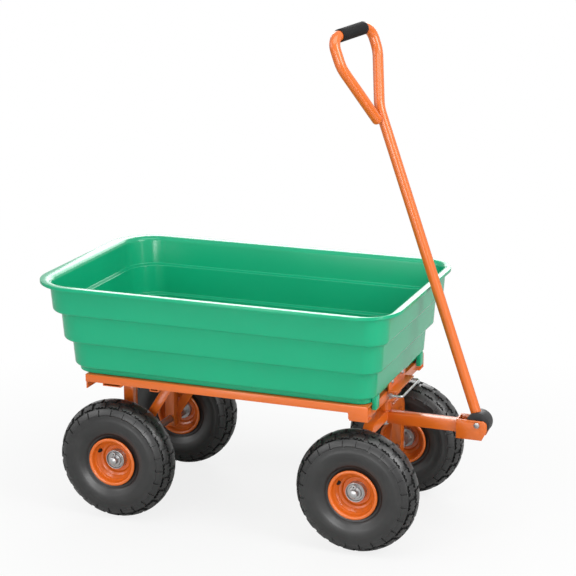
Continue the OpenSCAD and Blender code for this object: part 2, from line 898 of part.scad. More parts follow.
module front_spacers() {
    color(ZINC) both_sides() washer_y(front_x, axle_z, axle_d, leg_out, inner_washer_y);
}

// Turntable between the front bolster and the front yoke
module upper_turntable() {
    low = turntable_top - turntable_t;
    color(ORANGE) difference() {
        rod_z(front_x, 0, turntable_d, low, turntable_top);
        hole_z(front_x, 0, kingpin_d + 2 * slip_gap, low, turntable_top);
    }
}

module lower_turntable() {
    bore = kingpin_d + 2 * run_gap;
    color(ORANGE) difference() {
        union() {
            rod_z(front_x, 0, pedestal_d, yoke_top, lower_plate_z);
            rod_z(front_x, 0, turntable_d, lower_plate_z, lower_plate_z + turntable_t);
        }
        hole_z(front_x, 0, bore, yoke_top, lower_plate_z + turntable_t);
    }
}

module turntable_disc() {
    z = lower_plate_z + turntable_t;
    color(NYLON) difference() {
        rod_z(front_x, 0, turntable_d - 2 * overrun, z, z + disc_t - seat_gap);
        hole_z(front_x, 0, kingpin_d + 2 * run_gap, z, z + disc_t);
    }
}

kingpin_head_d = 22;
kingpin_head_h = 8;
kingpin_nut_h = 9;

module kingpin() {
    color(ZINC) {
        rod_z(front_x, 0, kingpin_d, yoke_top - yoke_side - kingpin_nut_h - 2 * washer_t, bolster_top);
        hex_z(front_x, 0, kingpin_head_d, bolster_top, bolster_top + kingpin_head_h);
    }
}

module kingpin_nut() {
    top = yoke_top - yoke_side - seat_gap;
    color(ZINC) difference() {
        union() {
            rod_z(front_x, 0, kingpin_head_d + 2 * washer_t, top - washer_t, top);
            hex_z(front_x, 0, kingpin_head_d, top - washer_t - kingpin_nut_h, top - washer_t);
        }
        hole_z(front_x, 0, kingpin_d + 2 * run_gap, top - washer_t - kingpin_nut_h, top);
    }
}

// Drawbar and clevis
clevis_nose = 21;
clevis_web_x = pivot_x + clevis_nose - clevis_l;
clevis_rise = 9;
clevis_low = pivot_z + clevis_rise - clevis_h;

module drawbar() {
    half = drawbar_side / 2;
    inner = half - tube_wall;
    x0 = front_x + yoke_side / 2;
    color(ORANGE) difference() {
        box([x0, -half, drawbar_z - half], [clevis_web_x, half, drawbar_z + half]);
        box([x0 - overrun, -inner, drawbar_z - inner],
            [clevis_web_x + overrun, inner, drawbar_z + inner]);
    }
}

nose_share = 0.25;

module clevis_outline() {
    cut = nose_share * clevis_h;
    nose_x = clevis_web_x + clevis_l;
    high = clevis_low + clevis_h;
    polygon([
        [clevis_web_x, clevis_low], [nose_x - cut, clevis_low], [nose_x, clevis_low + 2 * cut],
        [nose_x, high - cut], [nose_x - cut, high - cut], [nose_x - cut, high], [clevis_web_x, high]
    ]);
    translate([nose_x - cut, high - cut]) circle(r = cut);
}

module clevis() {
    half = clevis_w / 2;
    color(ORANGE) difference() {
        union() {
            both_sides() plate_y(half - clevis_t, half) clevis_outline();
            box([clevis_web_x, -half, clevis_low], [clevis_web_x + clevis_t, half, clevis_low + clevis_h]);
        }
        rod_y(pivot_x, pivot_z, pivot_d + 2 * run_gap, -clevis_w, clevis_w);
    }
}

pivot_head_d = 13;
pivot_head_h = 4;
pivot_tail = 3;

module pivot_bolt() {
    half = clevis_w / 2;
    color(ZINC) {
        rod_y(pivot_x, pivot_z, pivot_d, -half, half + pivot_head_h + pivot_tail);
        translate([pivot_x, -half, pivot_z]) rotate([90, 0, 0])
            cylinder(d = pivot_head_d, h = pivot_head_h, $fn = 6);
    }
}

module pivot_nut() {
    half = clevis_w / 2;
    color(ZINC) difference() {
        translate([pivot_x, half, pivot_z]) rotate([-90, 0, 0])
            cylinder(d = pivot_head_d, h = pivot_head_h, $fn = 6);
        rod_y(pivot_x, pivot_z, pivot_d + 2 * run_gap, half - overrun, half + pivot_head_h + overrun);
    }
}

// Handle: everything on it is drawn upright at the pivot and then leaned back
module leaned() {
    translate([pivot_x, 0, pivot_z]) rotate([0, -handle_lean, 0]) children();
}

// The loop's plane: x of the path runs to the cart's left, y runs up the shaft
module loop_plane() {
    rotate([0, 0, -loop_turn]) rotate([90, 0, 90]) children();
}

socket_z = 9;
loop_top = shaft_l + loop_h;
loop_shoulder_share = 0.68;
left_shoulder = shaft_l + loop_shoulder_share * loop_h;
right_shoulder_share = 0.62;
right_shoulder = shaft_l + right_shoulder_share * loop_h;
weld_reach_share = 0.25;
weld = [-weld_reach_share * loop_right, shaft_l - weld_reach_share * loop_right];
weld_over = 3;
loop_path = [
    [0, socket_z], [0, shaft_l], [loop_left, left_shoulder], [loop_left, loop_top],
    [-loop_right, loop_top], [-loop_right, right_shoulder], weld
];
loop_radii = [0, loop_wide_r, loop_wide_r, loop_bend_r, loop_bend_r, loop_wide_r, 0];

module handle_tube() {
    color(ORANGE) leaned() loop_plane() {
        bent_tube(loop_path, loop_radii, handle_d, handle_wall);
        translate(weld) sphere(d = handle_d + weld_over, $fn = tube_sides);
    }
}

module handle_grip() {
    from = -loop_right + loop_bend_r;
    to = loop_left - loop_bend_r;
    color(BLACK) leaned() loop_plane() translate([from, loop_top, 0]) rotate([0, 90, 0]) difference() {
        cylinder(d = grip_d, h = to - from);
        translate([0, 0, -overrun]) cylinder(d = handle_d + 2 * run_gap, h = to - from + 2 * overrun);
    }
}

module handle_knuckle() {
    half = clevis_w / 2 - clevis_t - side_gap;
    color(BLACK) leaned() difference() {
        rod_y(0, 0, 2 * knuckle_r, -half, half);
        rod_y(0, 0, pivot_d + 2 * run_gap, -clevis_w, clevis_w);
        rod_z(0, 0, handle_d + 2 * run_gap, socket_z, knuckle_r + overrun);
    }
}

// Wheels: each piece is drawn round the Y axis with its outer side towards +Y
tyre_power_share = 0.83;
bead_gap = 0.3;

function tyre_point(a, half_w, half_h, r) =
    [r + half_h * sign(sin(a)) * pow(abs(sin(a)), tyre_power_share),
     half_w * sign(cos(a)) * pow(abs(cos(a)), tyre_power_share)];

seat_drop = 10;
seat_d = lip_d - seat_drop;
tyre_mid_r = (tyre_d / 2 + seat_d / 2) / 2;
tyre_half_h = (tyre_d - seat_d) / 4;

// Where the bead sits on the rim, and the flange that holds it
bead_edge = 6;
bead_flat = rim_w / 2 - bead_edge;
bead_w = 9;

bead_angle = 40;
lining_angle = 54;
tyre_step = 10;
lining_step = 12;
lip_r = lip_d / 2 + bead_gap;
flange_y = rim_w / 2 - rim_t;
bead = [
    [seat_d / 2 + bead_gap, bead_flat - bead_w], [seat_d / 2 + bead_gap, bead_flat - bead_gap],
    [lip_r - rim_t / 2, flange_y], [lip_r, flange_y], [lip_r, rim_w / 2 - bead_gap]
];
tread = [
    for (a = [-bead_angle : tyre_step : 180 + bead_angle])
        tyre_point(a, tyre_w / 2, tyre_half_h, tyre_mid_r)
];
lining = [
    for (a = [180 + lining_angle : -lining_step : -lining_angle])
        tyre_point(a, tyre_w / 2 - tyre_wall, tyre_half_h - tyre_wall, tyre_mid_r)
];
function flipped(p) = [for (q = p) [q.x, -q.y]];

// A slot across the shoulder of the tread, as deep as the tread all along its curve
slot_from = 22;
slot_to = 74;
slot_step = 13;
module tread_slot() {
    translate([0, 0, -slot_w / 2]) linear_extrude(slot_w) polygon(concat(
        [for (a = [slot_from : slot_step : slot_to])
            tyre_point(a, tyre_w / 2 + overrun, tyre_half_h + overrun, tyre_mid_r)],
        [for (a = [slot_to : -slot_step : slot_from])
            tyre_point(a, tyre_w / 2 - tread_depth, tyre_half_h - tread_depth, tyre_mid_r)]
    ));
}

module tyre() {
    difference() {
        rotate([-90, 0, 0]) rotate_extrude($fn = 96)
            polygon(concat(bead, tread, reversed(flipped(bead)), lining));
        for (i = [0 : tread_blocks - 1]) rotate([0, 360 * i / tread_blocks, 0]) {
            tread_slot();
            rotate([0, 180 / tread_blocks, 0]) mirror([0, 1, 0]) tread_slot();
        }
    }
}

// Rim: two pressed halves welded back to back at the web. The back of a half follows a line
// from the hub out to the lip, and its front lies the sheet's thickness away
web_share = 0.62;
bowl_share = 0.86;
bowl_depth_share = 0.25;
seat_depth_share = 0.333;
rim_line = [
    [sleeve_d / 2 + slip_gap, 0], [web_share * seat_d / 2, 0],
    [bowl_share * seat_d / 2, bowl_depth_share * rim_w], [seat_d / 2, seat_depth_share * rim_w],
    [seat_d / 2, bead_flat], [lip_d / 2 - rim_t / 2, rim_w / 2 - rim_t],
    [lip_d / 2, rim_w / 2 - rim_t]
];

function unit(v) = v / norm(v);
function left_of(v) = [-v.y, v.x];
function sheet_normal(p, i) =
    let (a = unit(p[max(i, 1)] - p[max(i, 1) - 1]),
         b = unit(p[min(i, len(p) - 2) + 1] - p[min(i, len(p) - 2)]))
        unit(left_of(a + b)) / cos(wrapped(atan2(b.y, b.x) - atan2(a.y, a.x)) / 2);
function sheet_front(p, t) = [for (i = [0 : len(p) - 1]) p[i] + t * sheet_normal(p, i)];
rim_front = sheet_front(rim_line, rim_t);
rim_back = [for (i = [2 : len(rim_line) - 1]) rim_line[i]];
rim_profile = concat(
    rim_front, reversed(rim_back), [rim_line[1]], flipped(rim_back), reversed(flipped(rim_front))
);

module rim() {
    difference() {
        rotate([-90, 0, 0]) rotate_extrude($fn = 96) polygon(rim_profile);
        valve_axis() translate([0, 0, rim_t]) cylinder(d = valve_d + 2 * run_gap, h = rim_w);
    }
}

module hub() {
    difference() {
        rotate([-90, 0, 0]) rotate_extrude($fn = 64) {
            translate([0, -hub_inner]) square([sleeve_d / 2, hub_inner + hub_end]);
            translate([0, rim_t]) square([cup_d / 2, hub_end - rim_t - 2 * washer_t]);
            translate([0, -hub_end + 2 * washer_t])
                square([cup_d / 2, hub_end - rim_t - 2 * washer_t]);
        }
        rod_y(0, 0, axle_d + 2 * run_gap, -tyre_d, tyre_d);
    }
}

valve_d = 8;
valve_l = 22;
valve_cap_d = 10;
valve_cap_l = 8;
valve_r = 40;
valve_angle = 155;

module valve_axis() {
    translate([valve_r * cos(valve_angle), 0, valve_r * sin(valve_angle)])
        rotate([-90, 0, 0]) children();
}

module valve() {
    valve_axis() translate([0, 0, rim_t]) {
        cylinder(d = valve_d, h = valve_l);
        translate([0, 0, valve_l]) cylinder(d = valve_cap_d, h = valve_cap_l);
    }
}

// A wheel's piece at its place: side is 1 on the left and -1 on the right
module at_wheel(x, side) {
    translate([x, side * wheel_y, axle_z]) mirror([0, side > 0 ? 0 : 1, 0]) children();
}

tub();
left_hinge_lug();
right_hinge_lug();
lug_bolts();
latch_plate();
latch_screws();
latch_pin();
latch_hook();
latch_bail();
left_rail();
right_rail();
front_bolster();
rear_bolster();
mid_crossbar();
rear_crossbar();
bolster_bolts();
rear_yoke();
left_brace();
right_brace();
rear_axle();
rear_washers();
rear_cotters();
hinge_ears();
hinge_rod();
upper_turntable();
kingpin();
kingpin_nut();
front_yoke();
lower_turntable();
turntable_disc();
front_axle();
front_spacers();
front_washers();
front_cotters();
drawbar();
clevis();
pivot_bolt();
pivot_nut();
handle_tube();
handle_knuckle();
handle_grip();
color(RUBBER) at_wheel(front_x, 1) tyre();  // front_left_tyre
color(ORANGE) at_wheel(front_x, 1) rim();  // front_left_rim
color(ZINC) at_wheel(front_x, 1) hub();  // front_left_hub
color(BLACK) at_wheel(front_x, 1) valve();  // front_left_valve
color(RUBBER) at_wheel(front_x, -1) tyre();  // front_right_tyre
color(ORANGE) at_wheel(front_x, -1) rim();  // front_right_rim
color(ZINC) at_wheel(front_x, -1) hub();  // front_right_hub
color(BLACK) at_wheel(front_x, -1) valve();  // front_right_valve
color(RUBBER) at_wheel(rear_x, 1) tyre();  // rear_left_tyre
color(ORANGE) at_wheel(rear_x, 1) rim();  // rear_left_rim
color(ZINC) at_wheel(rear_x, 1) hub();  // rear_left_hub
color(BLACK) at_wheel(rear_x, 1) valve();  // rear_left_valve
color(RUBBER) at_wheel(rear_x, -1) tyre();  // rear_right_tyre
color(ORANGE) at_wheel(rear_x, -1) rim();  // rear_right_rim
color(ZINC) at_wheel(rear_x, -1) hub();  // rear_right_hub
color(BLACK) at_wheel(rear_x, -1) valve();  // rear_right_valve
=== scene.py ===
"""Looks of the tipping garden cart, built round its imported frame."""

import math

import bmesh
import bpy
from bpy.props import FloatProperty, FloatVectorProperty, IntProperty, PointerProperty
from mathutils import Matrix, Vector


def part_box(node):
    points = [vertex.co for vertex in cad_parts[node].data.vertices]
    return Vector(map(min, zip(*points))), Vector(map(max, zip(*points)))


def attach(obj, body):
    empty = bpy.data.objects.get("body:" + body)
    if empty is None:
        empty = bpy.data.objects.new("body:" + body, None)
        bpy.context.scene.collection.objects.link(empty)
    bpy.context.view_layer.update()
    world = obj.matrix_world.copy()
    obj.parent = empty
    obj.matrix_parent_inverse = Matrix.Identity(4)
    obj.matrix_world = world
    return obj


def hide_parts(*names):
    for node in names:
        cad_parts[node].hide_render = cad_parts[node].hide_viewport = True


bl_info = {
    "name": "Tipping garden cart",
    "version": (1, 0, 0),
    "blender": (4, 5, 0),
    "location": "3D View > Sidebar > Cart",
    "description": "Builds the looks of a tipping garden cart round its packed frame",
    "category": "Object",
}

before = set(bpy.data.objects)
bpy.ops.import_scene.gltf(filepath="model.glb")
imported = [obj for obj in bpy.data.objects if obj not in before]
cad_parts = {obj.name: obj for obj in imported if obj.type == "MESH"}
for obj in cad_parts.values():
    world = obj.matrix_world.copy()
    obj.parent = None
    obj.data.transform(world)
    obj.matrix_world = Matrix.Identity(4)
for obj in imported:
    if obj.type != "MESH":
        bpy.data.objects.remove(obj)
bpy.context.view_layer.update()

MM = 0.001
FULL_TURN = 2.0 * math.pi
ORIGIN = (0.0, 0.0, 0.0)
WHEELS = ("front_left", "front_right", "rear_left", "rear_right")

# Steel pieces with the orange coat, by the body that they ride on
COATED = {
    "chassis": (
        "left_rail", "right_rail", "front_bolster", "rear_bolster", "mid_crossbar", "rear_crossbar",
        "rear_yoke", "left_brace", "right_brace", "hinge_ears", "upper_turntable",
    ),
    "steering": ("front_yoke", "lower_turntable", "drawbar", "clevis"),
    "tub": ("left_hinge_lug", "right_hinge_lug", "latch_plate"),
    "latch": ("latch_hook",),
}

# Zinc plated pieces, by the body that they ride on
PLATED = {
    "chassis": (
        "bolster_bolts", "rear_axle", "rear_washers", "rear_cotters", "hinge_rod", "kingpin", "kingpin_nut",
    ),
    "steering": (
        "front_axle", "front_spacers", "front_washers", "front_cotters", "pivot_bolt", "pivot_nut",
    ),
    "tub": ("lug_bolts", "latch_screws"),
    "latch": ("latch_pin", "latch_bail"),
}


# Sizes and colours

def length(name, description, default):
    """A length that a user may change."""
    return FloatProperty(
        name=name, description=description, default=default, unit="LENGTH", subtype="DISTANCE",
    )


def tilt(name, description, degrees):
    """An angle that a user may change."""
    return FloatProperty(
        name=name, description=description, default=math.radians(degrees), subtype="ANGLE",
    )


def colour(name, description, default):
    """A colour that a user may change."""
    return FloatVectorProperty(
        name=name, description=description, default=default, size=3, min=0.0, max=1.0, subtype="COLOR",
    )


class CartTubSizes(bpy.types.PropertyGroup):
    """Sizes of the tub's moulding"""

    wall: length("Wall", "Thickness of the moulded wall", 4.0 * MM)
    rim_front_r: length("Front rim corners", "Corner radius of the rim at the front", 90.0 * MM)
    rim_rear_r: length("Rear rim corners", "Corner radius of the rim at the rear", 105.0 * MM)
    tier_front_r: length("Front tier corners", "Corner radius of the top tier at the front", 44.0 * MM)
    tier_rear_r: length("Rear tier corners", "Corner radius of the top tier at the rear", 70.0 * MM)
    rear_lip: length("Rear lip", "How much wider the rim is over the rear", 10.0 * MM)
    flare: length("Rim flare", "How far the rim stands out beyond the top tier", 19.0 * MM)
    lip: length("Rim lip", "Thickness of the rim's rolled lip", 8.0 * MM)
    step: length("Step", "Width of the step between two tiers", 14.0 * MM)
    draft: length("Draft", "How far a tier leans in from its top to its bottom", 4.0 * MM)
    tier_1: length("Top tier", "Height of the top tier with the rim", 66.0 * MM)
    tier_2: length("Middle tier", "Height of the middle tier", 64.0 * MM)
    tier_3: length("Bottom tier", "Height of the bottom tier", 59.0 * MM)
    rib_h: length("Rib height", "Height of the rib under the floor", 12.0 * MM)
    rib_w: length("Rib width", "Width of the rib under the floor", 16.0 * MM)
    rib_in: length("Rib inset", "How far the rib stands in from the bottom tier", 12.0 * MM)
    belly: length("Lower edge", "Rounding of each tier's lower edge", 6.0 * MM)
    crease: length("Upper edge", "Rounding where a tier meets the step above it", 1.6 * MM)
    rim_roll: length("Rim roll", "Rounding of the rim's inner edge", 10.0 * MM)
    stop_in: length("Stops from", "How far from the middle the front stops start", 146.0 * MM)
    stop_out: length("Stops to", "How far from the middle the front stops end", 168.0 * MM)
    stop_t: length("Stop thickness", "Thickness of the front stops", 10.0 * MM)
    stop_drop: length("Stop drop", "How far the stops hang below the rails' tops", 15.0 * MM)


class CartWheelSizes(bpy.types.PropertyGroup):
    """Sizes of the wheels"""

    tread_blocks: IntProperty(
        name="Tread blocks", description="Blocks round each row of the tread", default=24,
    )
    tread_depth: length("Tread depth", "Depth of the grooves between the blocks", 4.2 * MM)
    shoulder_depth: length("Shoulder depth", "Depth of the shoulder blocks' outlines", 2.2 * MM)
    seat_r: length("Bead seat", "Radius of the rim where the tyre sits", 48.0 * MM)
    lip_r: length("Rim lip", "Radius over the rims' lips", 53.0 * MM)
    rim_half_w: length("Half rim width", "From the wheel's middle to the rim's lip", 35.0 * MM)


class CartHandleSizes(bpy.types.PropertyGroup):
    """Sizes of the pull handle"""

    tube_r: length("Tube", "Radius of the handle's tube", 11.0 * MM)
    grip_r: length("Grip", "Radius of the grip's sleeve", 13.5 * MM)
    socket: length("Socket", "From the pivot to the lower end of the tube", 9.0 * MM)
    shaft: length("Shaft", "From the pivot to the start of the loop", 684.0 * MM)
    loop_h: length("Loop height", "From the start of the loop to the grip", 161.0 * MM)
    loop_left: length("Loop left", "How far the loop reaches to the left", 58.0 * MM)
    loop_right: length("Loop right", "How far the loop reaches to the right", 88.0 * MM)
    wide_r: length("Wide bends", "Bend radius of the loop's wide bends", 60.0 * MM)
    tight_r: length("Tight bends", "Bend radius at the ends of the grip", 26.0 * MM)
    lean: tilt("Lean", "How far the parked handle leans back", 19.3)
    turn: tilt("Turn", "Turn of the loop about the shaft", 14.0)


class CartColours(bpy.types.PropertyGroup):
    """Colours of the cart's finishes"""

    tub_green: colour("Tub", "Moulded green plastic", (0.006, 0.365, 0.178))
    frame_orange: colour("Frame", "Orange powder coat", (0.660, 0.132, 0.012))
    zinc_plate: colour("Zinc", "Zinc plate", (0.420, 0.420, 0.425))
    tyre_rubber: colour("Tyres", "Dark grey rubber", (0.011, 0.011, 0.0113))
    grip_rubber: colour("Grip", "Black foam rubber", (0.007, 0.007, 0.0075))
    black_plastic: colour("Knuckle", "Black moulded nylon", (0.014, 0.014, 0.015))
    nylon: colour("Disc", "Natural nylon", (0.700, 0.690, 0.620))
    floor: colour("Floor", "Studio floor", (0.620, 0.620, 0.615))


# Making pieces

MERGE_GAP = 0.004 * MM
SEAM_GAP = 0.002 * MM
FLAT_ANGLE = math.radians(0.6)
SHARP_ANGLE = math.radians(40.0)
EASE_STEPS = 2


def place_piece(name, bm, material, body, nodes=(), crease=35.0):
    """Turns a bmesh into a finished piece that rides on a body."""
    mesh = bpy.data.meshes.new(name)
    bm.to_mesh(mesh)
    bm.free()
    mesh.shade_smooth()
    mesh.set_sharp_from_angle(angle=math.radians(crease))
    mesh.materials.append(material)
    piece = bpy.data.objects.new(name, mesh)
    bpy.context.scene.collection.objects.link(piece)
    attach(piece, body)
    if nodes:
        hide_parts(*nodes)


def rounded(bm, geom, radius, segments, affect="EDGES", clamp=True):
    """Rounds edges, or the corners of a face."""
    bmesh.ops.bevel(
        bm, geom=geom, offset=radius, offset_type="OFFSET", segments=segments, profile=0.5, affect=affect,
        clamp_overlap=clamp, material=-1,
    )


def eased_copy(node, edge):
    """A merged copy of a CAD node with its sharp edges eased."""
    bm = bmesh.new()
    bm.from_mesh(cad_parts[node].data)
    bmesh.ops.remove_doubles(bm, verts=bm.verts, dist=MERGE_GAP)
    bmesh.ops.dissolve_limit(
        bm, angle_limit=FLAT_ANGLE, verts=bm.verts, edges=bm.edges, use_dissolve_boundaries=False,
    )
    sharp = [e for e in bm.edges if e.is_manifold and e.calc_face_angle() > SHARP_ANGLE]
    rounded(bm, sharp, edge, EASE_STEPS)
    return bm


def turned(profile, steps, closed=False):
    """A shape turned about the Y axis from points (radius, y)."""
    bm = bmesh.new()
    verts = [bm.verts.new((r, y, 0.0)) for r, y in profile]
    edges = [bm.edges.new(pair) for pair in zip(verts, verts[1:])]
    if closed:
        edges.append(bm.edges.new((verts[-1], verts[0])))
    bmesh.ops.spin(
        bm, geom=verts + edges, cent=ORIGIN, axis=(0.0, 1.0, 0.0), dvec=ORIGIN, angle=FULL_TURN,
        steps=steps, use_merge=True, use_normal_flip=False, use_duplicate=False,
    )
    bmesh.ops.remove_doubles(bm, verts=bm.verts, dist=SEAM_GAP)
    bmesh.ops.recalc_face_normals(bm, faces=bm.faces)
    return bm


def first_ring(bm, place, heading, radius, sides):
    """The capped start of a tube that runs along a heading. Returns its edges."""
    facing = heading.to_track_quat("Z", "X").to_matrix().to_4x4()
    made = bmesh.ops.create_circle(
        bm, segments=sides, radius=radius, cap_ends=False, matrix=Matrix.Translation(place) @ facing,
    )
    ring = list({e for v in made["verts"] for e in v.link_edges})
    bmesh.ops.edgeloop_fill(bm, edges=ring)
    return ring


def next_ring(bm, ring, move):
    """Grows a tube by one ring. Returns the new ring's points and edges."""
    grown = bmesh.ops.extrude_edge_only(bm, edges=ring)
    verts = [g for g in grown["geom"] if isinstance(g, bmesh.types.BMVert)]
    bmesh.ops.translate(bm, verts=verts, vec=move)
    edges = {e for v in verts for e in v.link_edges}
    return verts, [e for e in edges if all(v in verts for v in e.verts)]


def size_ring(bm, verts, radius):
    """Brings a ring of points to a radius about its middle."""
    middle = sum((v.co for v in verts), Vector()) / len(verts)
    size = radius / (verts[0].co - middle).length
    bmesh.ops.scale(bm, verts=verts, vec=(size, size, size), space=Matrix.Translation(-middle))


def wheel_place(wheel):
    """Where a wheel's middle is, and which way its outer side faces."""
    low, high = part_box(wheel + "_tyre")
    side = 1.0 if wheel.endswith("left") else -1.0
    return (low + high) / 2.0, side


def set_wheel(bm, wheel, phase=0.0):
    """Moves a shape made round the Y axis to a wheel, outer side outwards."""
    centre, side = wheel_place(wheel)
    turn = Matrix.Rotation(phase, 4, "Y")
    if side < 0.0:
        bmesh.ops.scale(bm, vec=(1.0, -1.0, 1.0), verts=bm.verts)
        bmesh.ops.reverse_faces(bm, faces=bm.faces)
    bmesh.ops.transform(bm, matrix=Matrix.Translation(centre) @ turn, verts=bm.verts)


# Shader nodes

def new_group(name, inputs, outputs):
    """A new node group from its sockets' names and kinds, with its input and output nodes."""
    group = bpy.data.node_groups.new(name, "ShaderNodeTree")
    for in_out, sockets in (("INPUT", inputs), ("OUTPUT", outputs)):
        for socket, kind in sockets.items():
            group.interface.new_socket(name=socket, in_out=in_out, socket_type="NodeSocket" + kind)
    return group, group.nodes.new("NodeGroupInput"), group.nodes.new("NodeGroupOutput")


def feed(tree, value, socket):
    """Links a socket to another node's output, or sets it to a constant."""
    if hasattr(value, "links"):
        tree.links.new(value, socket)
    else:
        socket.default_value = value


def add_noise(tree, vector, scale, detail, rough):
    """Soft noise from 0 to 1."""
    node = tree.nodes.new("ShaderNodeTexNoise")
    values = {"Vector": vector, "Scale": scale, "Detail": detail, "Roughness": rough}
    for socket, value in values.items():
        feed(tree, value, node.inputs[socket])
    return node.outputs["Fac"]


def add_range(tree, value, low, high, to_low=0.0, to_high=1.0):
    """A value brought from one range to another."""
    node = tree.nodes.new("ShaderNodeMapRange")
    values = {"Value": value, "From Min": low, "From Max": high, "To Min": to_low, "To Max": to_high}
    for socket, number in values.items():
        feed(tree, number, node.inputs[socket])
    return node.outputs["Result"]


def add_mix(tree, factor, first, second, blend="MIX"):
    """A blend of two colours."""
    node = tree.nodes.new("ShaderNodeMix")
    node.data_type = "RGBA"
    node.blend_type = blend
    factor_socket, first_socket, second_socket = node.inputs[0], node.inputs[6], node.inputs[7]
    feed(tree, factor, factor_socket)
    feed(tree, first, first_socket)
    feed(tree, second, second_socket)
    return node.outputs[2]


def add_math(tree, operation, first, second):
    """A sum, product or the like of two values."""
    node = tree.nodes.new("ShaderNodeMath")
    node.operation = operation
    feed(tree, first, node.inputs[0])
    feed(tree, second, node.inputs[1])
    return node.outputs[0]


def add_bump(tree, shader, height, strength, distance):
    """Fine relief on a finish."""
    bump = tree.nodes.new("ShaderNodeBump")
    bump.inputs["Strength"].default_value = strength
    bump.inputs["Distance"].default_value = distance
    tree.links.new(height, bump.inputs["Height"])
    tree.links.new(bump.outputs["Normal"], shader.inputs["Normal"])


def mix_shaders(tree, factor, first, second, output):
    """Mixes two shaders into an output node's surface."""
    mix = tree.nodes.new("ShaderNodeMixShader")
    for value, socket in zip((factor, first, second), mix.inputs):
        tree.links.new(value, socket)
    tree.links.new(mix.outputs[0], tree.nodes[output].inputs["Surface"])


def skin_group():
    """Tone, roughness and height of a sprayed or moulded skin."""
    found = bpy.data.node_groups.get("skin_grain")
    if found:
        return found
    group, given, result = new_group(
        "skin_grain",
        {
            "Vector": "Vector", "Colour": "Color", "Grain scale": "Float", "Tone": "Float",
            "Roughness": "Float", "Roughness spread": "Float",
        },
        {"Colour": "Color", "Roughness": "Float", "Height": "Float"},
    )
    tone_gain, rough_gain = 4.0, 2.0
    vector = given.outputs["Vector"]
    broad = add_noise(group, vector, scale=6.0, detail=3.0, rough=0.55)
    fine = add_noise(group, vector, scale=given.outputs["Grain scale"], detail=2.0, rough=0.5)
    rub = add_noise(group, vector, scale=35.0, detail=4.0, rough=0.65)
    swing = add_math(group, "SUBTRACT", broad, 0.5)
    amount = add_math(group, "MULTIPLY", swing, given.outputs["Tone"])
    tone = add_math(group, "ADD", add_math(group, "MULTIPLY", amount, tone_gain), 1.0)
    shade = group.nodes.new("ShaderNodeCombineColor")
    for socket in ("Red", "Green", "Blue"):
        group.links.new(tone, shade.inputs[socket])
    toned = add_mix(group, 1.0, given.outputs["Colour"], shade.outputs["Color"], "MULTIPLY")
    group.links.new(toned, result.inputs["Colour"])
    worn = add_math(group, "SUBTRACT", rub, 0.5)
    spread = add_math(group, "MULTIPLY", worn, given.outputs["Roughness spread"])
    change = add_math(group, "MULTIPLY", spread, rough_gain)
    rough = add_math(group, "ADD", given.outputs["Roughness"], change)
    group.links.new(rough, result.inputs["Roughness"])
    group.links.new(fine, result.inputs["Height"])
    return group


def dust_group():
    """Dry dust that greys a surface in soft patches."""
    found = bpy.data.node_groups.get("dry_dust")
    if found:
        return found
    group, given, result = new_group(
        "dry_dust",
        {
            "Vector": "Vector", "Colour": "Color", "Dust": "Color", "Amount": "Float",
            "Patch scale": "Float",
        },
        {"Colour": "Color", "Mask": "Float"},
    )
    patches = add_noise(
        group, given.outputs["Vector"], scale=given.outputs["Patch scale"], detail=6.0, rough=0.65,
    )
    spots = add_range(group, patches, low=0.38, high=0.72)
    mask = add_math(group, "MULTIPLY", spots, given.outputs["Amount"])
    dusty = add_mix(group, mask, given.outputs["Colour"], given.outputs["Dust"])
    group.links.new(dusty, result.inputs["Colour"])
    group.links.new(mask, result.inputs["Mask"])
    return group


def use_group(tree, group, values):
    """A node group in a finish, with its sockets fed."""
    node = tree.nodes.new("ShaderNodeGroup")
    node.node_tree = group
    for socket, value in values.items():
        feed(tree, value, node.inputs[socket])
    return node


def skin_node(tree, vector, tint, grain, tone, rough, spread):
    """The skin of a finish in one of the cart's colours."""
    return use_group(tree, skin_group(), {
        "Vector": vector, "Colour": (*getattr(bpy.context.scene.cart_colours, tint), 1.0),
        "Grain scale": grain, "Tone": tone, "Roughness": rough, "Roughness spread": spread,
    })


def dust_node(tree, vector, under, dust, amount, patch):
    """Dust over the colour of a skin."""
    return use_group(tree, dust_group(), {
        "Vector": vector, "Colour": under, "Dust": (*dust, 1.0), "Amount": amount, "Patch scale": patch,
    })


# Finishes

def fresh_material(name):
    """A new material with its shader and Object coordinates."""
    material = bpy.data.materials.new(name)
    material.use_nodes = True
    tree = material.node_tree
    shader = tree.nodes["Principled BSDF"]
    place = tree.nodes.new("ShaderNodeTexCoord")
    return material, tree, shader, place.outputs["Object"]


def skin_material(name, tint, grain, tone, rough, spread, bump, depth, gloss):
    """A moulded or sprayed skin."""
    found = bpy.data.materials.get(name)
    if found:
        return found
    material, tree, shader, vector = fresh_material(name)
    skin = skin_node(tree, vector, tint, grain, tone, rough, spread)
    tree.links.new(skin.outputs["Colour"], shader.inputs["Base Color"])
    tree.links.new(skin.outputs["Roughness"], shader.inputs["Roughness"])
    shader.inputs["Specular IOR Level"].default_value = gloss
    add_bump(tree, shader, skin.outputs["Height"], bump, depth)
    return material


def tub_plastic():
    """Smooth green plastic as it leaves the mould."""
    return skin_material(
        "green_moulded_plastic", "tub_green", grain=80.0, tone=0.03, rough=0.18, spread=0.04,
        bump=0.01, depth=0.1 * MM, gloss=0.36,
    )


def orange_coat():
    """Glossy orange powder coat with a soft ripple."""
    return skin_material(
        "orange_powder_coat", "frame_orange", grain=60.0, tone=0.02, rough=0.24, spread=0.03,
        bump=0.01, depth=0.1 * MM, gloss=0.65,
    )


def black_nylon():
    """Black nylon with the mould's fine grain."""
    return skin_material(
        "black_moulded_nylon", "black_plastic", grain=900.0, tone=0.10, rough=0.45, spread=0.10,
        bump=0.10, depth=0.2 * MM, gloss=0.35,
    )


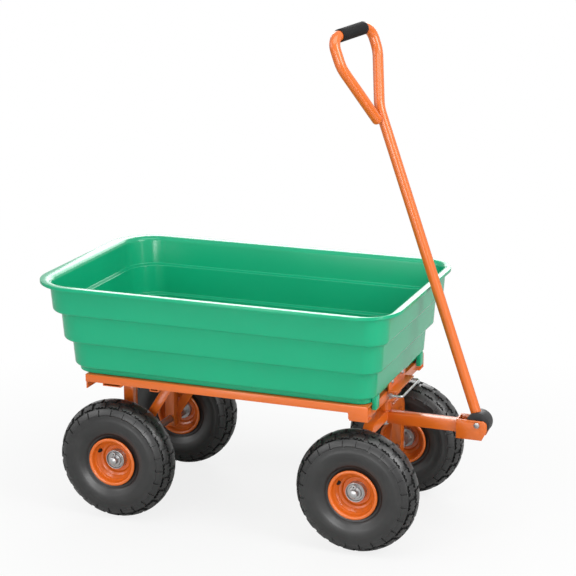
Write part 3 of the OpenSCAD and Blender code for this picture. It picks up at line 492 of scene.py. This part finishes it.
def white_nylon():
    """Uncoloured nylon, a little waxy."""
    return skin_material(
        "natural_nylon", "nylon", grain=600.0, tone=0.05, rough=0.50, spread=0.10,
        bump=0.05, depth=0.2 * MM, gloss=0.5,
    )


def grip_foam():
    """Dull black foam with open pores."""
    return skin_material(
        "black_foam_rubber", "grip_rubber", grain=1400.0, tone=0.15, rough=0.72, spread=0.10,
        bump=0.45, depth=0.3 * MM, gloss=0.2,
    )


def tyre_rubber():
    """Dark rubber with dry dust in patches and a fine grain."""
    found = bpy.data.materials.get("dusty_tyre_rubber")
    if found:
        return found
    material, tree, shader, vector = fresh_material("dusty_tyre_rubber")
    skin = skin_node(tree, vector, "tyre_rubber", grain=900.0, tone=0.10, rough=0.34, spread=0.05)
    dust = dust_node(
        tree, vector, skin.outputs["Colour"], dust=(0.035, 0.034, 0.033), amount=0.30, patch=26.0,
    )
    tree.links.new(dust.outputs["Colour"], shader.inputs["Base Color"])
    dulled = add_math(tree, "MULTIPLY", dust.outputs["Mask"], 0.15)
    rough = add_math(tree, "ADD", skin.outputs["Roughness"], dulled)
    tree.links.new(rough, shader.inputs["Roughness"])
    shader.inputs["Specular IOR Level"].default_value = 0.6
    add_bump(tree, shader, skin.outputs["Height"], strength=0.06, distance=0.2 * MM)
    return material


def zinc_plate():
    """Bright zinc with a faint cloudy passivation and a fine grain."""
    found = bpy.data.materials.get("cloudy_bright_zinc")
    if found:
        return found
    material, tree, shader, vector = fresh_material("cloudy_bright_zinc")
    skin = skin_node(tree, vector, "zinc_plate", grain=1100.0, tone=0.12, rough=0.32, spread=0.12)
    cloud = dust_node(
        tree, vector, skin.outputs["Colour"], dust=(0.36, 0.35, 0.33), amount=0.35, patch=90.0,
    )
    tree.links.new(cloud.outputs["Colour"], shader.inputs["Base Color"])
    tree.links.new(skin.outputs["Roughness"], shader.inputs["Roughness"])
    shader.inputs["Metallic"].default_value = 0.9
    add_bump(tree, shader, skin.outputs["Height"], strength=0.06, distance=0.1 * MM)
    return material


# Tub

CORNER_STEPS = 14
EDGE_STEPS = 5
LIP_ROLL_SHARE = 0.45

# A small fall keeps each level's ring off the next one's plane
LEVEL_FALL = 0.4 * MM

# The stops' backs lie behind the rails' front ends, and their tops run up into the floor
STOP_LAP = 2.0 * MM
STOP_SINK = 1.5 * MM
STOP_EDGE = 1.5 * MM
STOP_EDGE_STEPS = 3


class TubLevels:
    """The tub's heights, and its insets from the rim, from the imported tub's own box."""

    end_share = 0.91
    fall_share = 0.15

    def __init__(self, sizes):
        low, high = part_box("tub")
        self.sizes = sizes
        self.front_x = high.x
        self.rear_x = low.x
        self.half_w = high.y
        self.top_z = high.z
        self.step_12 = self.top_z - sizes.tier_1
        self.step_23 = self.step_12 - sizes.tier_2
        self.floor_z = self.step_23 - sizes.tier_3
        self.tier_1 = (sizes.flare, sizes.flare + sizes.draft)
        self.tier_2 = (self.tier_1[1] + sizes.step, self.tier_1[1] + sizes.step + sizes.draft)
        self.tier_3 = (self.tier_2[1] + sizes.step, self.tier_2[1] + sizes.step + sizes.draft)
        self.rib = (self.tier_3[1] + sizes.rib_in, self.tier_3[1] + sizes.rib_in + sizes.rib_w)

    def corner(self, inset, rim_r, tier_r):
        """The corner radius at an inset."""
        share = min(1.0, inset / self.tier_1[0])
        fall = self.fall_share * max(0.0, inset - self.tier_1[0])
        parallel = max(0.0, inset - self.tier_3[1])
        return max(self.sizes.wall, rim_r + (tier_r - rim_r) * share - fall - parallel)

    def ends(self, inset):
        """The rear and the front end at an inset."""
        share = min(1.0, inset / self.tier_1[0])
        front = self.front_x - self.end_share * inset
        rear = self.rear_x + self.end_share * inset + self.sizes.rear_lip * share
        return rear, front


def tub_ring(bm, levels, inset, z):
    """One rounded rectangle of the tub. Returns its edges."""
    before = set(bm.edges)
    sizes = levels.sizes
    rear, front = levels.ends(inset)
    side = levels.half_w - inset
    places = ((front, side, z), (rear, side, z), (rear, -side, z), (front, -side, z))
    corners = [bm.verts.new(place) for place in places]
    bm.faces.new(corners)
    front_r = levels.corner(inset, sizes.rim_front_r, sizes.tier_front_r)
    rear_r = levels.corner(inset, sizes.rim_rear_r, sizes.tier_rear_r)
    rounded(bm, [corners[0], corners[3]], front_r, CORNER_STEPS, affect="VERTICES", clamp=False)
    rounded(bm, [corners[1], corners[2]], rear_r, CORNER_STEPS, affect="VERTICES", clamp=False)
    flat = [f for f in bm.faces if f.is_valid and set(f.edges).isdisjoint(before)]
    bmesh.ops.delete(bm, geom=flat, context="FACES_ONLY")
    return [e for e in bm.edges if e not in before]


def tub_shell(levels):
    """The closed shell of the tub: up the outside, over the rim and down the inside."""
    sizes = levels.sizes
    wall, fall = sizes.wall, LEVEL_FALL
    top, lip, floor = levels.top_z, levels.top_z - sizes.lip, levels.floor_z
    step_12, step_23, under = levels.step_12, levels.step_23, levels.floor_z - sizes.rib_h
    tier_1, tier_2, tier_3, rib = levels.tier_1, levels.tier_2, levels.tier_3, levels.rib
    plan = (
        (rib[1], floor, None), (rib[1], under, None), (rib[0], under + fall, "tight"), (rib[0], floor, None),
        (tier_3[1], floor + fall, "soft"), (tier_3[0], step_23, "tight"),
        (tier_2[1], step_23 + fall, "soft"), (tier_2[0], step_12, "tight"),
        (tier_1[1], step_12 + fall, "soft"), (tier_1[0], lip, "tight"),
        (0.0, lip + fall, "rolled"), (0.0, top, "rolled"), (tier_1[0] + wall, top - fall, "inner"),
        (tier_1[1] + wall, step_12 + wall, "tight"), (tier_2[0] + wall, step_12 + wall - fall, "tight"),
        (tier_2[1] + wall, step_23 + wall, "tight"), (tier_3[0] + wall, step_23 + wall - fall, "tight"),
        (tier_3[1] + wall, floor + wall, "foot"),
    )
    radii = {
        "inner": sizes.rim_roll, "soft": sizes.belly, "tight": sizes.crease,
        "rolled": LIP_ROLL_SHARE * sizes.lip, "foot": sizes.belly,
    }
    bm = bmesh.new()
    rings = [tub_ring(bm, levels, inset, z) for inset, z, _ in plan]
    for lower, upper in zip(rings, rings[1:]):
        bmesh.ops.bridge_loops(bm, edges=lower + upper)
    for ring in (rings[0], rings[-1]):
        bmesh.ops.edgeloop_fill(bm, edges=ring)
    bmesh.ops.recalc_face_normals(bm, faces=bm.faces)
    for kind, radius in radii.items():
        edges = [e for ring, level in zip(rings, plan) if level[2] == kind for e in ring if e.is_valid]
        rounded(bm, edges, radius, EDGE_STEPS)
    return bm


def add_stop(bm, levels, side):
    """One of the blocks that hang at the frame's front corners."""
    sizes = levels.sizes
    _, rail_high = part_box("left_rail")
    middle = side * (sizes.stop_in + sizes.stop_out) / 2.0
    back = rail_high.x - STOP_LAP
    low = rail_high.z - sizes.stop_drop
    high = levels.floor_z + STOP_SINK
    size = Matrix.Diagonal((sizes.stop_t, sizes.stop_out - sizes.stop_in, high - low, 1.0))
    place = Matrix.Translation((back + sizes.stop_t / 2.0, middle, (low + high) / 2.0))
    made = bmesh.ops.create_cube(bm, size=1.0, matrix=place @ size)
    edges = list({e for v in made["verts"] for e in v.link_edges})
    rounded(bm, edges, STOP_EDGE, STOP_EDGE_STEPS)


class CART_OT_tub(bpy.types.Operator):
    """Makes the stepped tub with its rolled rim and front stops"""

    bl_idname = "cart.tub"
    bl_label = "Tub"

    def execute(self, context):
        levels = TubLevels(context.scene.cart_tub)
        bm = tub_shell(levels)
        for side in (-1.0, 1.0):
            add_stop(bm, levels, side)
        place_piece("tub_moulding", bm, tub_plastic(), "tub", ("tub",), crease=40.0)
        return {"FINISHED"}


# Wheels

# The tread in cells: degrees of the section for each, from the crown out to the edge, and cells in one pitch
TREAD_CELL = 2.8
TREAD_EDGE = 25
PITCH_CELLS = 16

# Rows of blocks by their cells from the crown, and the grooves across them by cells of the pitch
MIDDLE_ROW_END = 4
SIDE_ROW = (7, 13)
SHOULDER_ROW_START = 17
CROWN_END = 15.5
TOOTH_CELLS = 4
GROOVE_CELLS = 3
SIDE_GROOVE_CELLS = 4

# The tyre's section: how square it is, its sidewall in degrees with two fine grooves, and its bead
SECTION_POWER = 0.95
WALL_ANGLES = (-46.0, -40.0, -34.0, -28.0, -22.0, -16.0, -10.0, -4.0, 2.0, 8.0, 13.0, 16.0)
WALL_GROOVES = (-28.0, 13.0)
WALL_GROOVE_DEPTH = 0.7 * MM
BEAD_GAP = 0.4 * MM
BEAD_SEAT_Y = 24.0 * MM
BEAD_LIP_Y = 27.0 * MM
BLOCK_DRAFT = 0.5 * MM

# Each wheel stands a little further round than the one before it
WHEEL_PHASE = 0.37

# Points (radius, y) in mm: a half rim's dish and back, and its rolled lip from the lip's corner
RIM_DISH = (
    (13.4, 2.5), (26.5, 2.5), (29.0, 3.0), (30.2, 4.2), (31.0, 7.0), (32.0, 8.3), (37.0, 10.2), (39.5, 12.2),
    (40.8, 15.2), (42.0, 18.6), (43.6, 20.6), (44.9, 23.0), (45.3, 26.5), (45.4, 29.6), (45.7, 31.2),
)
RIM_LIP = (
    (-6.6, -2.2), (-5.8, -1.0), (-4.4, -0.2), (-3.0, 0.0), (-1.6, -0.5), (-0.5, -1.6), (0.0, -3.0),
    (-0.6, -4.2),
)
RIM_BACK = ((48.0, 29.0), (48.0, 23.5), (42.0, 18.0), (30.0, 0.6))
RIM_STEPS = 96

# Points (radius, y) in mm: a hub from its outer bearing cup to its inner one, then its inner sleeve's radii
HUB_CUPS = (
    (8.1, 17.0), (12.2, 17.0), (13.0, 16.4), (13.4, 13.8), (14.2, 13.1), (17.2, 13.0), (18.0, 13.6),
    (18.4, 15.6), (19.0, 16.5), (20.0, 16.7), (20.8, 16.2), (21.0, 15.2), (21.0, 2.55),
    (21.0, -2.55), (21.0, -12.2), (20.0, -13.0), (14.0, -13.0), (13.0, -13.8),
)
HUB_SLEEVE_R = 13.0 * MM
HUB_BORE_R = 8.1 * MM
HUB_STEPS = 72


def in_metres(points):
    """A list of points given in mm."""
    return [(r * MM, y * MM) for r, y in points]


def tread_block(cell, along):
    """Whether a cell lies on a block, and whether that block is one of the crown's."""
    tooth = 1 if along % TOOTH_CELLS < TOOTH_CELLS // 2 else 0
    if cell <= MIDDLE_ROW_END + tooth:
        return along >= GROOVE_CELLS, True
    if SIDE_ROW[0] + tooth <= cell <= SIDE_ROW[1] + tooth:
        return (along + PITCH_CELLS // 2) % PITCH_CELLS >= SIDE_GROOVE_CELLS, True
    if cell >= SHOULDER_ROW_START:
        return along >= GROOVE_CELLS, False
    return False, False


def tyre_point(angle, inset, mid_r, half_h, half_w):
    """A point (radius, y) of the tyre's section."""
    s, c = math.sin(angle), math.cos(angle)
    out = math.copysign(abs(s) ** SECTION_POWER, s) * (half_h - inset)
    across = math.copysign(abs(c) ** SECTION_POWER, c) * (half_w - inset)
    return mid_r + out, across


def tyre_profile(sizes, mid_r, half_h, half_w):
    """Points (radius, y) of the carcass, from one bead over the crown to the other."""
    tread_start = 90.0 - TREAD_EDGE * TREAD_CELL
    angles = list(WALL_ANGLES) + [tread_start + k * TREAD_CELL for k in range(2 * TREAD_EDGE + 1)]
    angles += [180.0 - a for a in reversed(WALL_ANGLES)]
    section = []
    for angle in angles:
        cells = abs(angle - 90.0) / TREAD_CELL
        low = 0.0
        if cells < CROWN_END:
            low = sizes.tread_depth
        elif cells < TREAD_EDGE - 0.5:
            low = sizes.shoulder_depth
        elif angle in WALL_GROOVES or 180.0 - angle in WALL_GROOVES:
            low = WALL_GROOVE_DEPTH
        section.append(tyre_point(math.radians(angle), low, mid_r, half_h, half_w))
    bead = [(sizes.seat_r + BEAD_GAP, BEAD_SEAT_Y), (sizes.lip_r + BEAD_GAP, BEAD_LIP_Y)]
    return bead + section + [(r, -y) for r, y in reversed(bead)]


def tyre_shape(sizes, half_w, outer_r):
    """The tyre with its blocks raised from a turned carcass."""
    mid_r = (outer_r + sizes.seat_r) / 2.0
    half_h = (outer_r - sizes.seat_r) / 2.0
    cells_round = sizes.tread_blocks * PITCH_CELLS
    bm = turned(tyre_profile(sizes, mid_r, half_h, half_w), cells_round)
    crown, shoulder = [], []
    for face in bm.faces:
        spot = face.calc_center_median()
        out = math.hypot(spot.x, spot.z) - mid_r
        cell = int(abs(math.degrees(math.atan2(spot.y / half_w, out / half_h))) / TREAD_CELL)
        if cell >= TREAD_EDGE:
            continue
        along = int(math.atan2(spot.z, spot.x) / FULL_TURN * cells_round) % PITCH_CELLS
        raised, on_crown = tread_block(cell, along)
        if raised:
            (crown if on_crown else shoulder).append(face)
    for faces, depth in ((shoulder, sizes.shoulder_depth), (crown, sizes.tread_depth)):
        bmesh.ops.inset_region(
            bm, faces=[f for f in faces if f.is_valid], thickness=BLOCK_DRAFT, depth=depth,
            use_boundary=True, use_even_offset=True,
        )
    return bm


class CART_OT_tyres(bpy.types.Operator):
    """Makes the four tyres with their blocks"""

    bl_idname = "cart.tyres"
    bl_label = "Tyres"

    def execute(self, context):
        low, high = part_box("front_left_tyre")
        half_w = (high.y - low.y) / 2.0
        outer_r = (high.z - low.z) / 2.0
        shape = bpy.data.meshes.new("tyre_shape")
        first = tyre_shape(context.scene.cart_wheels, half_w, outer_r)
        first.to_mesh(shape)
        first.free()
        for number, wheel in enumerate(WHEELS):
            bm = bmesh.new()
            bm.from_mesh(shape)
            set_wheel(bm, wheel, WHEEL_PHASE * number)
            body, node = wheel + "_wheel", wheel + "_tyre"
            place_piece(wheel + "_tread", bm, tyre_rubber(), body, (node,), crease=28.0)
        bpy.data.meshes.remove(shape)
        return {"FINISHED"}


def rim_half(sizes):
    """Points (radius, y) of a pressed half rim, from the hub out to the back of its rolled lip."""
    lip = [(sizes.lip_r + r, sizes.rim_half_w + y) for r, y in in_metres(RIM_LIP)]
    return in_metres(RIM_DISH) + lip + in_metres(RIM_BACK)


class CART_OT_rims(bpy.types.Operator):
    """Makes the pressed rims with their stepped dishes and rolled lips"""

    bl_idname = "cart.rims"
    bl_label = "Rims"

    def execute(self, context):
        half = rim_half(context.scene.cart_wheels)
        profile = half + [(r, -y) for r, y in reversed(half)]
        for wheel in WHEELS:
            bm = turned(profile, RIM_STEPS, closed=True)
            set_wheel(bm, wheel)
            body, node = wheel + "_wheel", wheel + "_rim"
            place_piece(wheel + "_dish", bm, orange_coat(), body, (node,), crease=32.0)
        return {"FINISHED"}


class CART_OT_hubs(bpy.types.Operator):
    """Makes the zinc hubs with their bearing cups"""

    bl_idname = "cart.hubs"
    bl_label = "Hubs"

    def execute(self, context):
        for wheel in WHEELS:
            low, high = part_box(wheel + "_hub")
            centre, side = wheel_place(wheel)
            inner_y = min(side * (low.y - centre.y), side * (high.y - centre.y))
            profile = in_metres(HUB_CUPS) + [(HUB_SLEEVE_R, inner_y), (HUB_BORE_R, inner_y)]
            bm = turned(profile, HUB_STEPS, closed=True)
            set_wheel(bm, wheel)
            body, node = wheel + "_wheel", wheel + "_hub"
            place_piece(wheel + "_cup", bm, zinc_plate(), body, (node,), crease=30.0)
        return {"FINISHED"}


# Handle

TUBE_SIDES = 28
BEND_STEPS = 10

# Where the loop's sides start to lean in, as shares of its height, and where its end meets the shaft
LEFT_SHARE = 0.68
RIGHT_SHARE = 0.62
END_SHARE = 0.25

# The rings of the dome on the loop's end: reach and radius in tube radii
END_DOME = ((0.30, 0.92), (0.22, 0.74), (0.12, 0.45))

GRIP_GAP = 0.05 * MM
GRIP_EASE = 1.6 * MM
GRIP_EASE_SHARE = 0.3
GRIP_RUNS = 12
GRIP_STEPS = 40


def handle_frame(sizes):
    """From the loop's own plane to the cart: x runs left, y up the shaft."""
    low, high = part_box("pivot_bolt")
    pivot = Vector(((low.x + high.x) / 2.0, 0.0, (low.z + high.z) / 2.0))
    upright = Matrix(((0.0, 0.0, 1.0), (1.0, 0.0, 0.0), (0.0, 1.0, 0.0))).to_4x4()
    lean = Matrix.Rotation(-sizes.lean, 4, "Y")
    turn = Matrix.Rotation(-sizes.turn, 4, "Z")
    return Matrix.Translation(pivot) @ lean @ turn @ upright


def loop_path(sizes):
    """Corners and bend radii of the handle's tube in the loop's plane."""
    left, right, shaft = sizes.loop_left, sizes.loop_right, sizes.shaft
    top = shaft + sizes.loop_h
    reach = END_SHARE * right
    path = (
        (0.0, sizes.socket, 0.0), (0.0, shaft, sizes.wide_r),
        (left, shaft + LEFT_SHARE * sizes.loop_h, sizes.wide_r), (left, top, sizes.tight_r),
        (-right, top, sizes.tight_r), (-right, shaft + RIGHT_SHARE * sizes.loop_h, sizes.wide_r),
        (-reach, shaft - reach, 0.0),
    )
    return [Vector((x, y, 0.0)) for x, y, _ in path], [radius for _, _, radius in path]


def bent_tube(corners, radii, tube_r):
    """A tube swept along straight runs and spun round its bends, with its last ring and heading."""
    bm = bmesh.new()
    heading = (corners[1] - corners[0]).normalized()
    ring = first_ring(bm, corners[0], heading, tube_r, TUBE_SIDES)
    here = corners[0]
    for k in range(1, len(corners)):
        goal = corners[k]
        turn, trim = 0.0, 0.0
        if k < len(corners) - 1:
            onward = (corners[k + 1] - goal).normalized()
            turn = math.atan2(heading.cross(onward).z, heading.dot(onward))
            trim = radii[k] * math.tan(abs(turn) / 2.0)
        stop = goal - heading * trim
        verts, ring = next_ring(bm, ring, stop - here)
        here = stop
        if turn:
            side = Vector((-heading.y, heading.x, 0.0)) * math.copysign(radii[k], turn)
            spun = bmesh.ops.spin(
                bm, geom=ring + verts, cent=here + side, axis=(0.0, 0.0, 1.0), dvec=ORIGIN, angle=turn,
                steps=BEND_STEPS, use_merge=False, use_normal_flip=False, use_duplicate=False,
            )
            ring = [g for g in spun["geom_last"] if isinstance(g, bmesh.types.BMEdge)]
            heading = onward
            here = goal + heading * trim
    return bm, ring, heading


def close_round(bm, ring, heading, tube_r):
    """Closes a tube's last ring with a low dome."""
    for reach, share in END_DOME:
        verts, ring = next_ring(bm, ring, heading * tube_r * reach)
        size_ring(bm, verts, share * tube_r)
    bmesh.ops.edgeloop_fill(bm, edges=ring)


class CART_OT_handle(bpy.types.Operator):
    """Makes the handle's bent tube with its closed loop"""

    bl_idname = "cart.handle"
    bl_label = "Handle"

    def execute(self, context):
        sizes = context.scene.cart_handle
        corners, radii = loop_path(sizes)
        bm, ring, heading = bent_tube(corners, radii, sizes.tube_r)
        close_round(bm, ring, heading, sizes.tube_r)
        bmesh.ops.recalc_face_normals(bm, faces=bm.faces)
        bmesh.ops.transform(bm, matrix=handle_frame(sizes), verts=bm.verts)
        place_piece(
            "handle_bent_tube", bm, orange_coat(), "handle", ("handle_tube",), crease=40.0,
        )
        return {"FINISHED"}


class CART_OT_grip(bpy.types.Operator):
    """Makes the grip's sleeve with its rounded ends"""

    bl_idname = "cart.grip"
    bl_label = "Grip"

    def execute(self, context):
        sizes = context.scene.cart_handle
        left = sizes.loop_left - sizes.tight_r
        right = sizes.tight_r - sizes.loop_right
        inner, outer = sizes.tube_r + GRIP_GAP, sizes.grip_r
        part = GRIP_EASE_SHARE * GRIP_EASE
        end = ((inner, 0.0), (outer - GRIP_EASE, 0.0), (outer - part, part), (outer, GRIP_EASE))
        span = left - right - 2.0 * GRIP_EASE
        profile = [(r, right + y) for r, y in end]
        profile += [(outer, right + GRIP_EASE + span * k / GRIP_RUNS) for k in range(1, GRIP_RUNS)]
        profile += [(r, left - y) for r, y in reversed(end)]
        bm = turned(profile, GRIP_STEPS, closed=True)
        top = sizes.shaft + sizes.loop_h
        lay = Matrix.Translation((0.0, top, 0.0)) @ Matrix.Rotation(-math.pi / 2.0, 4, "Z")
        bmesh.ops.transform(bm, matrix=handle_frame(sizes) @ lay, verts=bm.verts)
        bmesh.ops.recalc_face_normals(bm, faces=bm.faces)
        place_piece(
            "grip_sleeve", bm, grip_foam(), "handle", ("handle_grip",), crease=40.0,
        )
        return {"FINISHED"}


# Pieces whose CAD shape stays

# How far each kind of edge is eased
COAT_EDGE = 0.7 * MM
PLATE_EDGE = 0.5 * MM
KNUCKLE_EDGE = 1.8 * MM
DISC_EDGE = 0.5 * MM
VALVE_EDGE = 0.8 * MM

# The lug bolts' flat heads stand up out of the tub's floor, and the valves' stems are cut short
HEAD_BAND = 0.6 * MM
HEAD_LIFT = 1.0 * MM
STEM_SHARE = 0.5

# A weld's radius and ripple, with its ends and dips in shares of the radius, and the yoke's tube
WELD_R = 1.9 * MM
WELD_PITCH = 2.4 * MM
WELD_END = 0.35
WELD_DIP = 0.82
WELD_SIDES = 8
WELD_FEWEST = 4
YOKE_TUBE = 22.0 * MM


class CART_OT_steelwork(bpy.types.Operator):
    """Coats the frame, the steering and the latch with eased edges"""

    bl_idname = "cart.steelwork"
    bl_label = "Steelwork"

    def execute(self, context):
        for body, nodes in COATED.items():
            for node in nodes:
                bm = eased_copy(node, COAT_EDGE)
                place_piece(node + "_coated", bm, orange_coat(), body, (node,))
        return {"FINISHED"}


def weld_bead(bm, start, end):
    """A rippled bead along a seam, closed at both ends."""
    run = end - start
    steps = 2 * max(WELD_FEWEST, round(run.length / WELD_PITCH))
    ring = first_ring(bm, start, run, WELD_END * WELD_R, WELD_SIDES)
    for k in range(1, steps + 1):
        verts, ring = next_ring(bm, ring, run / steps)
        swell = WELD_END if k == steps else 1.0 if k % 2 else WELD_DIP
        size_ring(bm, verts, swell * WELD_R)
    bmesh.ops.edgeloop_fill(bm, edges=ring)


class CART_OT_welds(bpy.types.Operator):
    """Lays the weld beads round the drawbar's ends"""

    bl_idname = "cart.welds"
    bl_label = "Welds"

    def execute(self, context):
        low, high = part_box("drawbar")
        _, yoke_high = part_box("front_yoke")
        bm = bmesh.new()
        for x, foot in ((low.x, max(low.z, yoke_high.z - YOKE_TUBE)), (high.x, low.z)):
            seam = ((low.y, foot), (low.y, high.z), (high.y, high.z), (high.y, foot))
            corners = [Vector((x, y, z)) for y, z in seam]
            for start, end in zip(corners, corners[1:]):
                weld_bead(bm, start, end)
        weld_bead(bm, Vector((high.x, low.y, low.z)), Vector((high.x, high.y, low.z)))
        bmesh.ops.recalc_face_normals(bm, faces=bm.faces)
        place_piece("drawbar_welds", bm, orange_coat(), "steering", crease=50.0)
        return {"FINISHED"}


class CART_OT_fasteners(bpy.types.Operator):
    """Plates the axles, pins, bolts and washers with eased edges"""

    bl_idname = "cart.fasteners"
    bl_label = "Fasteners"

    def execute(self, context):
        for body, nodes in PLATED.items():
            for node in nodes:
                bm = eased_copy(node, PLATE_EDGE)
                if node == "lug_bolts":
                    top = max(v.co.z for v in bm.verts)
                    heads = [v for v in bm.verts if v.co.z > top - HEAD_BAND]
                    bmesh.ops.translate(bm, verts=heads, vec=(0.0, 0.0, HEAD_LIFT))
                place_piece(node + "_plated", bm, zinc_plate(), body, (node,))
        return {"FINISHED"}


class CART_OT_mouldings(bpy.types.Operator):
    """Makes the handle's knuckle, the turntable's disc and the valves"""

    bl_idname = "cart.mouldings"
    bl_label = "Small mouldings"

    def execute(self, context):
        knuckle = eased_copy("handle_knuckle", KNUCKLE_EDGE)
        place_piece(
            "knuckle_moulding", knuckle, black_nylon(), "handle", ("handle_knuckle",),
        )
        disc = eased_copy("turntable_disc", DISC_EDGE)
        place_piece("disc_moulding", disc, white_nylon(), "steering", ("turntable_disc",))
        for wheel in WHEELS:
            stem = eased_copy(wheel + "_valve", VALVE_EDGE)
            low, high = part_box(wheel + "_valve")
            foot = low.y if wheel.endswith("left") else high.y
            from_foot = Matrix.Translation((0.0, -foot, 0.0))
            bmesh.ops.scale(stem, verts=stem.verts, vec=(1.0, STEM_SHARE, 1.0), space=from_foot)
            body, node = wheel + "_wheel", wheel + "_valve"
            place_piece(wheel + "_stem", stem, grip_foam(), body, (node,))
        return {"FINISHED"}


# Stage

FLOOR_SIZE = 12.0
WORLD_STRENGTH = 0.28

# The floor's own white to the camera, near the cart and further out, in metres
FLOOR_REACH = (0.3, 1.3)
FLOOR_WHITE = (0.82, 1.0)

# Lamps: name, place, target, width and height in metres, and power in watts
LAMPS = (
    ("left", (-2.5, -1.5, 1.9), (-0.1, 0.0, 0.3), (2.0, 1.4), 18.0),
    ("low", (0.50, -3.0, 0.85), (0.0, -0.2, 0.25), (0.9, 0.8), 24.0),
    ("front", (2.2, -0.7, 1.9), (0.1, 0.0, 0.3), (1.2, 1.2), 38.0),
    ("overhead", (0.5, -0.75, 2.7), (0.1, -0.2, 0.2), (2.4, 1.3), 30.0),
    ("back", (-0.7, 2.8, 1.7), (0.0, 0.0, 0.3), (2.4, 1.4), 46.0),
    ("side_strip", (-0.40, -1.45, 0.68), (0.05, -0.2, 0.45), (0.34, 1.2), 4.0),
    ("front_strip", (1.55, -0.66, 0.55), (0.25, -0.2, 0.45), (0.16, 1.1), 2.6),
)

# The camera at the photograph's viewing angle, with its lens and sensor in mm
CAMERA_PLACE = (1.2688, -3.3214, 1.4357)
CAMERA_TARGET = (0.0161, 0.0171, 0.4878)
CAMERA_LENS = 108.255
CAMERA_SENSOR = 36.0


def add_staged(name, data, place, target):
    """A lamp or camera that looks at a target."""
    thing = bpy.data.objects.new(name, data)
    thing.location = place
    thing.rotation_euler = (Vector(target) - Vector(place)).to_track_quat("-Z", "Y").to_euler()
    bpy.context.scene.collection.objects.link(thing)
    return thing


def add_lamp(name, place, target, size, energy):
    """A soft rectangular lamp that the camera doesn't see."""
    data = bpy.data.lights.new(name, "AREA")
    data.shape = "RECTANGLE"
    data.size, data.size_y = size
    data.energy = energy
    add_staged(name, data, place, target).visible_camera = False


def floor_material():
    """A pale floor that is white to the camera and keeps the object's shadow."""
    material, tree, shader, vector = fresh_material("studio_floor")
    skin = skin_node(tree, vector, "floor", grain=40.0, tone=0.01, rough=0.85, spread=0.05)
    tree.links.new(skin.outputs["Colour"], shader.inputs["Base Color"])
    tree.links.new(skin.outputs["Roughness"], shader.inputs["Roughness"])
    reach = tree.nodes.new("ShaderNodeVectorMath")
    reach.operation = "LENGTH"
    tree.links.new(vector, reach.inputs[0])
    far = add_range(tree, reach.outputs["Value"], *FLOOR_REACH, *FLOOR_WHITE)
    rays = tree.nodes.new("ShaderNodeLightPath")
    seen = add_math(tree, "MULTIPLY", far, rays.outputs["Is Camera Ray"])
    white = tree.nodes.new("ShaderNodeEmission")
    white.inputs["Strength"].default_value = 1.0
    mix_shaders(tree, seen, shader.outputs[0], white.outputs[0], "Material Output")
    return material


def studio_world():
    """Soft even light, white where the camera or a mirror sees it."""
    world = bpy.data.worlds.new("studio")
    bpy.context.scene.world = world
    world.use_nodes = True
    tree = world.node_tree
    soft = tree.nodes["Background"]
    white = tree.nodes.new("ShaderNodeBackground")
    for node, strength in ((soft, WORLD_STRENGTH), (white, 1.0)):
        node.inputs["Color"].default_value = (1.0, 1.0, 1.0, 1.0)
        node.inputs["Strength"].default_value = strength
    rays = tree.nodes.new("ShaderNodeLightPath")
    seen = add_math(tree, "MAXIMUM", rays.outputs["Is Camera Ray"], rays.outputs["Is Transmission Ray"])
    mirrored = add_math(tree, "MAXIMUM", seen, rays.outputs["Is Glossy Ray"])
    mix_shaders(tree, mirrored, soft.outputs[0], white.outputs[0], "World Output")


class CART_OT_stage(bpy.types.Operator):
    """Sets up the floor, the lamps and the camera"""

    bl_idname = "cart.stage"
    bl_label = "Stage"

    def execute(self, context):
        scene = context.scene
        scene.view_settings.view_transform = "Standard"
        bm = bmesh.new()
        bmesh.ops.create_grid(bm, x_segments=8, y_segments=8, size=FLOOR_SIZE)
        mesh = bpy.data.meshes.new("studio_floor")
        bm.to_mesh(mesh)
        bm.free()
        mesh.materials.append(floor_material())
        floor = bpy.data.objects.new("studio_floor", mesh)
        scene.collection.objects.link(floor)
        studio_world()
        for lamp in LAMPS:
            add_lamp(*lamp)
        data = bpy.data.cameras.new("photo_camera")
        data.sensor_width = CAMERA_SENSOR
        data.lens = CAMERA_LENS
        scene.camera = add_staged("photo_camera", data, CAMERA_PLACE, CAMERA_TARGET)
        return {"FINISHED"}


class CART_PT_panel(bpy.types.Panel):
    """Lists the cart's steps and sizes"""

    bl_idname = "CART_PT_panel"
    bl_label = "Garden cart"
    bl_space_type = "VIEW_3D"
    bl_region_type = "UI"
    bl_category = "Cart"

    def draw(self, context):
        for step in STEPS:
            self.layout.operator(step.bl_idname)
        for name in GROUPS:
            sizes = getattr(context.scene, name)
            for size in sizes.__annotations__:
                self.layout.prop(sizes, size)


STEPS = (
    CART_OT_stage, CART_OT_tub, CART_OT_tyres, CART_OT_rims, CART_OT_hubs, CART_OT_handle, CART_OT_grip,
    CART_OT_steelwork, CART_OT_welds, CART_OT_fasteners, CART_OT_mouldings,
)
GROUPS = {
    "cart_tub": CartTubSizes, "cart_wheels": CartWheelSizes, "cart_handle": CartHandleSizes,
    "cart_colours": CartColours,
}
CLASSES = (*GROUPS.values(), *STEPS, CART_PT_panel)


def register():
    for item in CLASSES:
        bpy.utils.register_class(item)
    for name, group in GROUPS.items():
        setattr(bpy.types.Scene, name, PointerProperty(type=group))


def unregister():
    for name in reversed(GROUPS):
        delattr(bpy.types.Scene, name)
    for item in reversed(CLASSES):
        bpy.utils.unregister_class(item)


def main():
    register()
    bpy.ops.cart.stage()
    bpy.ops.cart.tub()
    bpy.ops.cart.tyres()
    bpy.ops.cart.rims()
    bpy.ops.cart.hubs()
    bpy.ops.cart.handle()
    bpy.ops.cart.grip()
    bpy.ops.cart.steelwork()
    bpy.ops.cart.welds()
    bpy.ops.cart.fasteners()
    bpy.ops.cart.mouldings()


if __name__ == "__main__":
    main()
